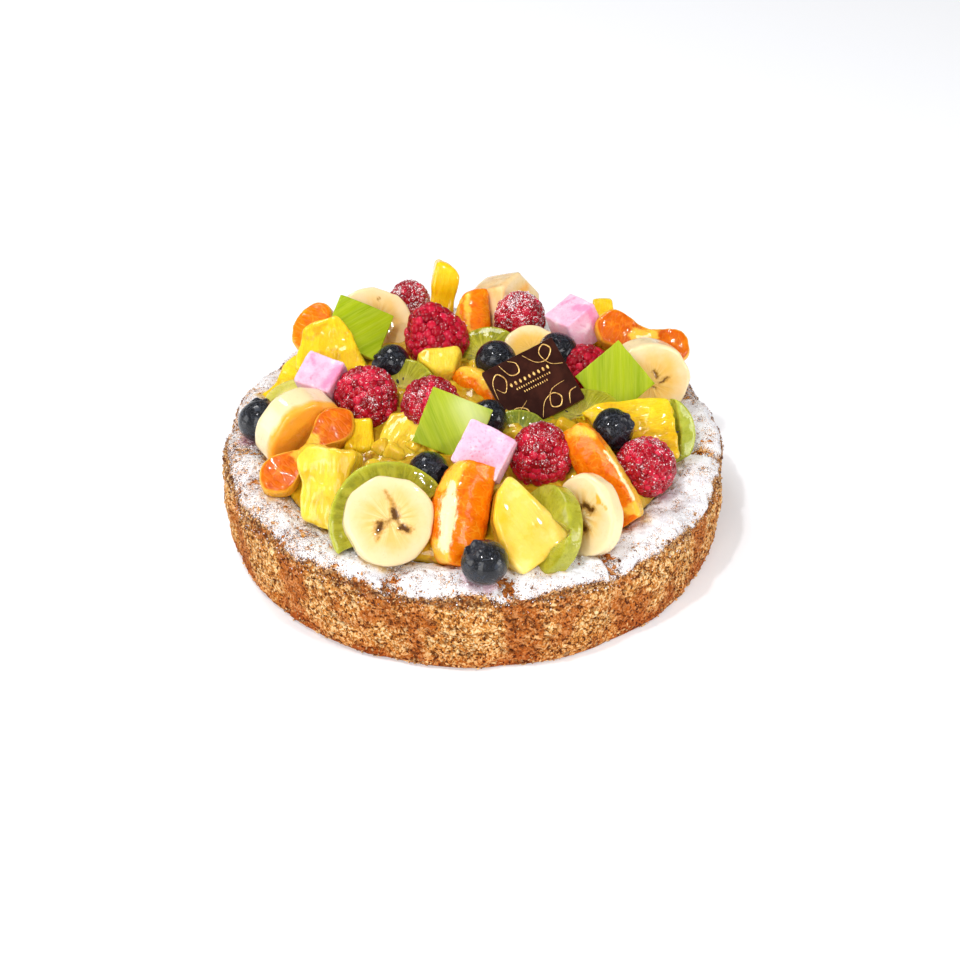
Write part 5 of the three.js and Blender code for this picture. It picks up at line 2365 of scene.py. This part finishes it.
    def build(self, berries: KDTree, syrup: KDTree) -> None:
        """Builds the sponge, its sugar and its crumbs.

        Args:
            berries: Places on the berries.
            syrup: Places on the glazed fruit.
        """
        rng = np.random.default_rng(2024)
        coat = self.sugar(berries, syrup)
        dress("sponge_crust", self.crust(), CrumbFinish("sponge_crumb"), "sponge",
            node="sponge_base")
        dress("sugar_coat", coat, SugarFinish("icing_sugar"), "sponge")
        dress("sponge_crumbs", self.crumbs(rng), CRUMB_GRAIN, "sponge")
        dress("sugar_grains", self.grains(coat, rng), SUGAR_GRAIN, "sponge")


@dataclass
class Custard:
    """The domed bed of custard and glaze that the fruit lies in."""
    radius: float = 70.5
    edge: float = 34.0
    rise: float = 12.0
    cover: float = 3.2
    bits: int = 44

    def dome(self, share: Array | float) -> Array | float:
        """Height of the bed at a share of its radius."""
        return self.edge + self.cover + self.rise * (1 - share ** 2)

    def scraps(self, fruit: KDTree) -> Shape:
        """Scraps of glazed fruit that fill the gaps between the pieces.

        Args:
            fruit: Places on all the pieces.

        Returns:
            The scraps as one shape.
        """
        rng = np.random.default_rng(404)
        tries, reach = 3000, 0.86
        flat = rng.uniform(-reach, reach, (tries, 2)) * self.radius
        share = length(flat) / self.radius
        height = self.dome(share) + rng.uniform(-2.4, 0, tries)
        places = np.column_stack([flat, height])
        free = np.array([fruit.find(place)[2] for place in places])
        chosen = places[(share < reach) & (free > 1.6)][:self.bits]
        up = np.tile([0.0, 0.0, 1.0], (len(chosen), 1)) + rng.uniform(-0.6, 0.6, (len(chosen), 3))
        form = ball(16, 10)
        form.points = np.sign(form.points) * np.abs(form.points) ** 0.55
        sizes = rng.uniform(2.2, 4.0, (len(chosen), 1)) * rng.uniform(0.6, 1.2, (len(chosen), 3))
        shape = stamp(form, chosen, turns_to(unit(up), rng), sizes, rng.uniform(0, 1, len(chosen)))
        shape.marks["eyes"] = shape.marks.pop("tone")
        return shape.push(0.45 * waves(shape.points, 2.6, 17, 2))

    def build(self, fruit: KDTree) -> None:
        """Builds the bed and the scraps on it.

        Args:
            fruit: Places on all the pieces.
        """
        dress("fruit_scraps", self.scraps(fruit), PALE_PINEAPPLE, "pineapple")
        shares = np.linspace(0.02, 1, 56)
        low = self.edge - 2.6
        steps = [*zip(shares, self.dome(shares)), (1.012, self.edge + 0.4), (1.0, low + 0.4),
            (0.97, low), (0.5, low)]
        rings = [circle(full_turn(190), share * self.radius, height) for share, height in steps]
        shape = loft(np.array(rings), np.array([0, 0, self.dome(0)]), np.array([0, 0, low]))
        top = shape.points[:, 2] > low + 1
        swell = 1.5 * waves(shape.points, 12.0, 91, 2) + 1.1 * waves(shape.points, 4.0, 93, 2)
        shape.points[:, 2] += swell * top
        dress("custard_cream", shape, CUSTARD_GEL, "custard", node="custard_bed")


# ---------------------------------------- topping


def topping() -> list[Piece]:
    """Every piece on the tart, in the order in which it is built.

    Returns:
        The pieces; one that others are cut by comes before them.
    """
    chocolate = 1.8
    return [
        Plaque("chocolate_plaque", Pose(0, 50, 28), 28, 25, chocolate, 1),
        GreenSquare("green_square_left", Pose(25, 58, -40), 21, 20, chocolate, 2, bend=-0.5,
            grain=55),
        # The bloom stroke on this square paints a pale sheen, a painted highlight, on part of its
        # face.
        GreenSquare("green_square_middle", Pose(-8, 34, -17), 22, 20, chocolate, 3, bend=0.4,
            grain=134, bloom=(Stroke((2, 8), (10, 2), 5.0, 0.8),)),
        GreenSquare("green_square_right", Pose(0, 38, 40), 20, 20, chocolate, 4, bend=0.5,
            grain=50),
        Marshmallow("marshmallow_left", Pose(-22, 60, -7), 14, 13, 13, 5,
            stains=(Stroke((5, -4), (6, 3), 2.6, 0.6), Stroke((-5, 5), (-3, 2), 1.6, 0.5))),
        Marshmallow("marshmallow_front", Pose(-8, 42, -22), 17, 16, 14, 6),
        Marshmallow("marshmallow_back", Pose(-77, 69, 25), 14, 14, 15, 7,
            stains=(Stroke((2, 2), (6, 4), 2.2, 0.7), Stroke((-3, 5), (-5, 1), 1.4, 0.5))),
        Raspberry("raspberry_back_left", Pose(0, 67), 15, 15, 15, 11, drupelet=2.7,
            dusting=Dusting.HEAVY),
        Raspberry("raspberry_tall", Pose(-118, 66), 23, 24, 24, 12, drupelet=3.6,
            dusting=Dusting.LIGHT, cone=0.27),
        Raspberry("raspberry_back", Pose(0, 73), 19, 20, 20, 13, drupelet=3.1,
            dusting=Dusting.HEAVY),
        Raspberry("raspberry_left", Pose(25, -20), 22, 23, 23, 14, drupelet=3.2,
            dusting=Dusting.MEDIUM, cone=0.2),
        Raspberry("raspberry_middle", Pose(-15, 5), 21, 22, 22, 15, drupelet=3.3,
            dusting=Dusting.MEDIUM),
        Raspberry("raspberry_front", Pose(0, 75), 21, 24, 24, 16, drupelet=3.5,
            dusting=Dusting.MEDIUM),
        Raspberry("raspberry_right", Pose(9, 48), 21, 20, 20, 17, drupelet=2.6,
            dusting=Dusting.MEDIUM),
        Raspberry("raspberry_behind_plaque", Pose(20, 53), 20, 20, 20, 18, drupelet=3.0,
            dusting=Dusting.LIGHT),
        Blueberry("blueberry_upper_left", Pose(-70, 14), 14, 14, 14, 21),
        Blueberry("blueberry_rim_left", Pose(180, 35), 16, 16, 16, 22),
        Blueberry("blueberry_centre", Pose(180, 0), 15, 15, 15, 23),
        Blueberry("blueberry_behind_plaque", Pose(-30, 50), 15, 15, 15, 24, grip=LOW_X),
        Blueberry("blueberry_middle", Pose(-70, 28), 14, 14, 14, 25),
        Blueberry("blueberry_front_left", Pose(52, 18), 15, 15, 15, 26),
        Blueberry("blueberry_front", Pose(-90, 60), 16, 16, 16, 27),
        Blueberry("blueberry_right", Pose(70, 40), 15, 15, 15, 28),
        MangoChunk("mango_front", Pose(9, 45, 30), 26, 28, 13, 31, rounding=1.8, look=PALE_MANGO,
            wear=3, corners=((-12, -14.6), (7.5, -14), (9.5, -12.9), (5.2, 13), (3.8, 15.6),
            (-2, 13.3), (-9.3, 6.2), (-13.5, -7.8)), eyes=(Stroke((-9, 6), (-2, 13), 3.5, 0.9),
            Stroke((-9, 6), (-13, -8), 2.4, 0.7))),
        KiwiSlice("kiwi_front", Pose(-65, 28), 31, 31, 6, 32, behind="mango_front", seeds=0,
            look=PLAIN_KIWI),
        BananaSlice("banana_front", Pose(12, 42, 20), 30, 30, 8, 33, ripe=0.15,
            spots=(Stroke((2.8, 0.0), (3.0, 1.8), 1.7, 1.2),
            Stroke((3.0, 2.0), (3.6, 8.6), 0.9, 0.62), Stroke((-4.2, -1.2), (-3.0, -0.2), 1.9, 1.2),
            Stroke((2.6, -4.2), (3.8, -5.4), 1.7, 1.2), Stroke((2.8, 0.0), (3.0, -4.6), 1.1, 0.8),
            Stroke((-3.4, -0.4), (2.6, 0.6), 0.9, 0.62), Stroke((-4, -2), (-6.5, -4), 0.8, 0.6))),
        BananaSlice("banana_front_right", Pose(-51, 25), 28, 28, 6, 34, ripe=0.0,
            spots=(Stroke((-0.8, 3.8), (3.4, 4.2), 1.6, 1.1),
            Stroke((-2.0, 3.4), (-2.2, -0.6), 1.2, 1.0), Stroke((-1.2, -2.0), (3.6, -3.2), 2.0,
            1.1)), glaze=(Stroke((3.0, 9.0), (9.0, 8.0), 1.0, 0.8),)),
        BananaSlice("banana_right", Pose(21, 13), 30, 30, 9, 35, ripe=0.7,
            spots=(Stroke((1.2, 3.8), (3.0, 1.4), 0.9, 0.9),
            Stroke((4.2, -0.8), (6.6, 0.6), 0.9, 1.0), Stroke((0, -1.4), (2, -2.4), 0.8, 0.8))),
        # Its face is turned away from the lamps; the bright amber covering it is painted light.
        BananaSlice("banana_left", Pose(37, -10), 30, 30, 11, 36, amber_face_with_painted_light=0.75, ripe=0.0),
        BananaSlice("banana_back_left", Pose(27, 39), 28, 28, 8, 37, ripe=0.35,
            spots=(Stroke((10.0, 9.4), (11.2, 10.6), 0.6, 0.8),
            Stroke((3.4, 7.8), (4.4, 8.6), 0.5, 0.8))),
        BananaSlice("banana_behind_centre", Pose(0, 67), 21, 21, 8, 38, ripe=0.8),
        BananaSlice("banana_back", Pose(67, 23), 30, 30, 15, 39, ripe=0.2, facets=1.0, sides=6,
            amber_rim=0.4, glaze=(Stroke((-8.0, 4.0), (8.0, 6.0), 3.0, 0.7),)),
        OpenedSegment("mandarin_left", Pose(0, 57, 44), 41, 16, 8, 41,
            tint=(Stroke((-2.5, -0.5), (4.0, 0.8), 2.6, 1.3),)),
        OpenedSegment("mandarin_back_right", Pose(9, 48, -24), 36, 16, 8, 42, waist=0.5, lobes=0.45,
            pith=(Stroke((-1.0, -1.5), (2.0, 1.0), 1.2, 1.0),),
            tint=(Stroke((-2.0, -1.0), (3.0, 1.0), 2.6, 1.2),)),
        OpenedSegment("mandarin_back_left", Pose(-19, 53, 75), 20, 14, 14, 43, waist=1.0, lobes=0.0,
            grip=Piece.grip, look=Segment.look),
        Segment("mandarin_back", Pose(0, 42, 90), 26, 15, 13, 44,
            tint=(Stroke((-8.0, 1.0), (9.0, 2.5), 1.4, 0.75),
            Stroke((-8.0, 6.0), (9.0, 6.4), 1.8, 0.9))),
        Segment("mandarin_front", Pose(8, 45, 74), 38, 20, 15, 45, sharpness=2, ends=(-0.94, 0.92),
            fullness=0.38, bend=0.06, section=((0.0, -0.6), (0.06, 0.2), (0.45, 0.84), (0.7, 1.04),
            (0.8, 0.96), (1.0, 0.0), (1.0, -0.8)), pith=(Stroke((8.0, 5.4), (3.0, 4.8), 1.8, 1.1),
            Stroke((3.0, 4.8), (-4.0, 4.0), 3.0, 1.25), Stroke((-4.0, 4.0), (-12.0, 4.2), 2.5,
            1.2)), tint=(Stroke((17.0, 6.5), (9.0, 6.5), 3.4, 1.3),
            Stroke((-12.0, 6.0), (-17.0, 4.0), 2.2, 1.1))),
        Segment("mandarin_right", Pose(29, 51, -80), 40, 15, 13, 46, sharpness=1,
            ends=(-0.95, 0.93), fullness=0.3, bend=0.04, section=((0.0, -0.9), (0.06, 0.0),
            (0.5, 1.0), (0.64, 1.0), (1.02, -0.1), (1.0, -0.9)),
            pith=(Stroke((-6.0, 1.2), (13.0, 0.8), 0.9, 1.1),),
            tint=(Stroke((-4.0, 5.0), (17.0, 4.5), 3.2, 1.3),
            Stroke((15.0, -1.0), (18.0, 3.0), 2.4, 1.1), Stroke((-17.0, -3.0), (-14.0, 1.0), 2.0,
            0.8))),
        Segment("mandarin_by_plaque", Pose(-33, 57, -17), 21, 13, 13, 47, fullness=0.5,
            tint=(Stroke((-7.0, 3.5), (7.0, 4.5), 3.0, 1.5),)),
        MangoChunk("mango_stick", Pose(6, 25, -12), 10, 27, 9, 51, look=DEEP_MANGO, wear=1,
            rough=0.7, corners=((-4.6, -13.5), (4.6, -13.5), (5.3, 6), (5.0, 9.6), (1.5, 12.4),
            (-3.2, 13.9), (-4.5, 13))),
        KiwiSlice("kiwi_front_left", Pose(12, 42, 24), 41, 41, 6, 52, half_slice=True, seeds=12),
        PineappleChunk("pineapple_upper_left", Pose(-10, 54, 6), 26, 22, 15, 53, wear=3, rough=0.8,
            corners=((-13, -11), (13, -11), (11.9, -8.9), (6.1, 4.2), (4.1, 7.3), (1.4, 10.4),
            (-3, 9.6), (-8, 8.1), (-11.2, 5.4), (-12.5, -4))),
        PineappleChunk("pineapple_left", Pose(-53, 51, 101), 12, 16, 9, 54, wear=3,
            corners=((-15, 9), (-6, -6), (6, -7), (8, 0), (7.9, 6.3), (2.3, 9.8), (-8, 9.5),
            (-13, 11.5), (-16, 14))),
        PineappleChunk("pineapple_front_left", Pose(-15, 38, 8), 17, 32, 12, 55, rough=1.0, wear=3,
            look=PALE_PINEAPPLE, eyes=(Stroke((6.5, 12), (8.5, -8), 3.6, 0.9),),
            corners=((0.5, -15), (7, -16), (8.4, -4), (8.8, 6), (10.5, 12), (5.4, 13.4),
            (-3.4, 15.1), (-7.6, 15.4), (-9.6, 11), (-9.8, 5.9), (-7.6, 1.2), (-8.5, -2.2),
            (-7.6, -10.9), (-3.7, -13.2))),
        PineappleChunk("pineapple_middle_left", Pose(-14, 66, -12), 19, 17, 12, 56, rough=0.8,
            wear=3, look=PALE_PINEAPPLE, corners=((-9, -7.5), (8.5, -8), (9.4, 2), (6, 8), (1, 6.2),
            (-4, 8.5), (-9.5, 6)), eyes=(Stroke((2, -5), (8, -3), 4.0, 0.8),)),
        PineappleChunk("pineapple_centre", Pose(0, 73), 17, 13, 12, 57, grip=LOW_X, wear=3,
            look=PALE_PINEAPPLE, corners=((-8.7, 1.1), (-0.8, -4.6), (4.5, -3.2), (6.9, 5.7),
            (5.5, 8.4), (-0.9, 7.9), (-6.6, 7), (-9.4, 4.8))),
        PineappleChunk("pineapple_right", Pose(9, 48, 95), 25, 36, 10, 58, wear=2, rough=1.9,
            corners=((-3.8, 3.6), (-9.8, -9.4), (-14.6, -15.9), (-0.5, -17.6), (8.2, -17.7),
            (10.6, -6.7), (10.6, 7.6), (8.7, 16.6)), eyes=(Stroke((-9, -12), (0, 0), 4.0, 0.7),)),
        PineappleChunk("pineapple_small", Pose(0, 66), 11, 12, 10, 59),
        PineappleChunk("pineapple_back_right", Pose(0, 66), 10, 17, 10, 60),
        KiwiSlice("kiwi_right", Pose(23, 28), 28, 27, 7, 61, grip=(Side.HIGH, Side.LOW, Side.HIGH),
            cut_by=("pineapple_right",), look=PALE_KIWI),
        KiwiSlice("kiwi_behind_plaque", Pose(19, 72, 9), 32, 26, 8, 62, half_slice=True, seeds=4,
            cut_by=("pineapple_right", "blueberry_right")),
        # Its finish is a copy of the kiwi darkened as painted shade.
        KiwiSlice("kiwi_core", Pose(-10, 50), 24, 24, 6, 63, half_slice=True, seeds=14,
            look=PAINTED_SHADE_KIWI),
        KiwiSlice("kiwi_centre", Pose(-34, 57, 43), 26, 26, 8, 64, grip=LOW_X, half_slice=True,
            seeds=4),
        KiwiSlice("kiwi_upper_left", Pose(-29, 51, 49), 24, 24, 8, 65, grip=LOW_X, half_slice=True,
            seeds=5),
        KiwiSlice("kiwi_left", Pose(-71, 71, 80), 18, 16, 8, 66, half_slice=True, seeds=0,
            look=CREAMY_KIWI),
    ]


def tree_of(shapes: list[Shape]) -> KDTree:
    """A search tree over some of the places on several surfaces.

    Args:
        shapes: The surfaces.

    Returns:
        The tree, in millimetres.
    """
    places = np.concatenate([shape.points[::7] for shape in shapes])
    tree = KDTree(len(places))
    for index, place in enumerate(places):
        tree.insert(place, index)
    tree.balance()
    return tree


def dust_berries(berries: list[tuple[Raspberry, Shape]]) -> None:
    """Scatters icing sugar over the berries.

    Args:
        berries: Each raspberry with its surface in the tart's frame.
    """
    rng = np.random.default_rng(77)
    dusts = []
    for berry, surface in berries:
        keep = ease(surface.normals()[:, 2], -0.2, 0.8)
        count = int(berry.dusting.value[0] * 3.0 * berry.width * berry.length)
        places, outward = surface.scatter(count, rng, keep)
        size = rng.lognormal(-1.55, 0.35, count).clip(0.1, 0.42)
        sizes = size[:, None] * rng.uniform(0.7, 1.2, (count, 3))
        dusts.append(stamp(pebble(rng, 4, 1), places, turns_to(outward, rng), sizes,
            rng.uniform(0.5, 1, count)))
    dress("berry_sugar", Shape.join(dusts), SUGAR_GRAIN, "raspberry")


# ---------------------------------------- studio


@dataclass(frozen=True)
class Lamp:
    """A soft rectangular light that looks at the tart."""
    name: str
    turn: float
    lift: float
    away: float
    size: float
    power: float

    def build(self, target: Vector) -> None:
        """Hangs the lamp: turn goes from the front towards the right, lift goes up.

        Args:
            target: The place that it looks at, in metres.
        """
        data = bpy.data.lights.new(self.name, "AREA")
        data.shape = "SQUARE"
        data.size = self.size
        data.energy = self.power
        lamp = bpy.data.objects.new(self.name, data)
        way = Pose(self.turn, self.lift).rotation()[:, 2]
        lamp.location = target + Vector(way) * self.away
        lamp.rotation_euler = (target - lamp.location).to_track_quat("-Z", "Y").to_euler()
        bpy.context.scene.collection.objects.link(lamp)


@dataclass
class Studio:
    """The table, the soft light and the camera."""
    elevation: float = 36.5
    distance: float = 0.9
    lens: float = 93.1
    aim: tuple[float, float, float] = (0.00236, 0.00744, 0.01005)
    table_half: float = 3.0
    world: float = 0.12
    lamps: tuple[Lamp, ...] = (Lamp("key_light", -140, 58, 1.1, 0.35, 5.5),
        Lamp("front_fill", -20, 35, 1.3, 0.6, 6.2), Lamp("low_fill", -20, 12, 1.3, 0.5, 4.1),
        Lamp("side_fill", 70, 14, 1.2, 0.5, 6.5), Lamp("left_fill", -85, 14, 1.2, 0.5, 3.5),
        Lamp("glint_left", -35, 66, 1.0, 0.045, 3.0), Lamp("glint_right", 42, 52, 1.0, 0.045, 2.0))

    def build(self) -> None:
        """Sets the stage."""
        self.build_table()
        self.build_light()
        self.build_camera()

    def build_table(self) -> None:
        """Lays the pale table under the tart."""
        half = self.table_half / MM
        middle = (np.array(CAD_BOX[0]) + np.array(CAD_BOX[1])) / 2 / MM
        level = CAD_BOX[0][2] / MM - 0.05
        points = np.column_stack([box(half, half) + middle[:2], np.full(4, level)])
        table = write_mesh("table_top", Shape(points, np.array([[0, 1, 2], [0, 2, 3]])))
        table.data.materials.append(TableFinish("table_white").material())

    def build_light(self) -> None:
        """Lights the stage with soft white lamps and a white world."""
        world = bpy.data.worlds.new("studio_world")
        world.use_nodes = True
        background = world.node_tree.nodes["Background"]
        background.inputs["Color"].default_value = (1, 1, 1, 1)
        background.inputs["Strength"].default_value = self.world
        bpy.context.scene.world = world
        bpy.context.scene.view_settings.view_transform = "Standard"
        for lamp in self.lamps:
            lamp.build(Vector(self.aim))

    def build_camera(self) -> None:
        """Sets up the camera."""
        data = bpy.data.cameras.new("camera")
        data.lens = self.lens
        data.sensor_width = 36
        data.clip_end = 20
        camera = bpy.data.objects.new("camera", data)
        target = Vector(self.aim)
        lift = math.radians(self.elevation)
        camera.location = target + self.distance * Vector((0, -math.cos(lift), math.sin(lift)))
        camera.rotation_euler = (target - camera.location).to_track_quat("-Z", "Y").to_euler()
        bpy.context.scene.collection.objects.link(camera)
        bpy.context.scene.camera = camera


def main() -> None:
    """Builds the tart and its stage."""
    logging.basicConfig(level=logging.INFO, format="%(name)s: %(message)s")
    Studio().build()
    berries, juicy, glazed_fruit = [], [], []
    for piece in topping():
        surface = piece.build()
        if isinstance(piece, Raspberry):
            berries.append((piece, surface))
        if isinstance(piece, (Raspberry, Blueberry)):
            juicy.append(surface)
        elif piece.part == "fruit":
            glazed_fruit.append(surface)
    dust_berries(berries)
    Custard().build(tree_of(juicy + glazed_fruit))
    Sponge().build(tree_of(juicy), tree_of(glazed_fruit))


if __name__ == "__main__":
    main()
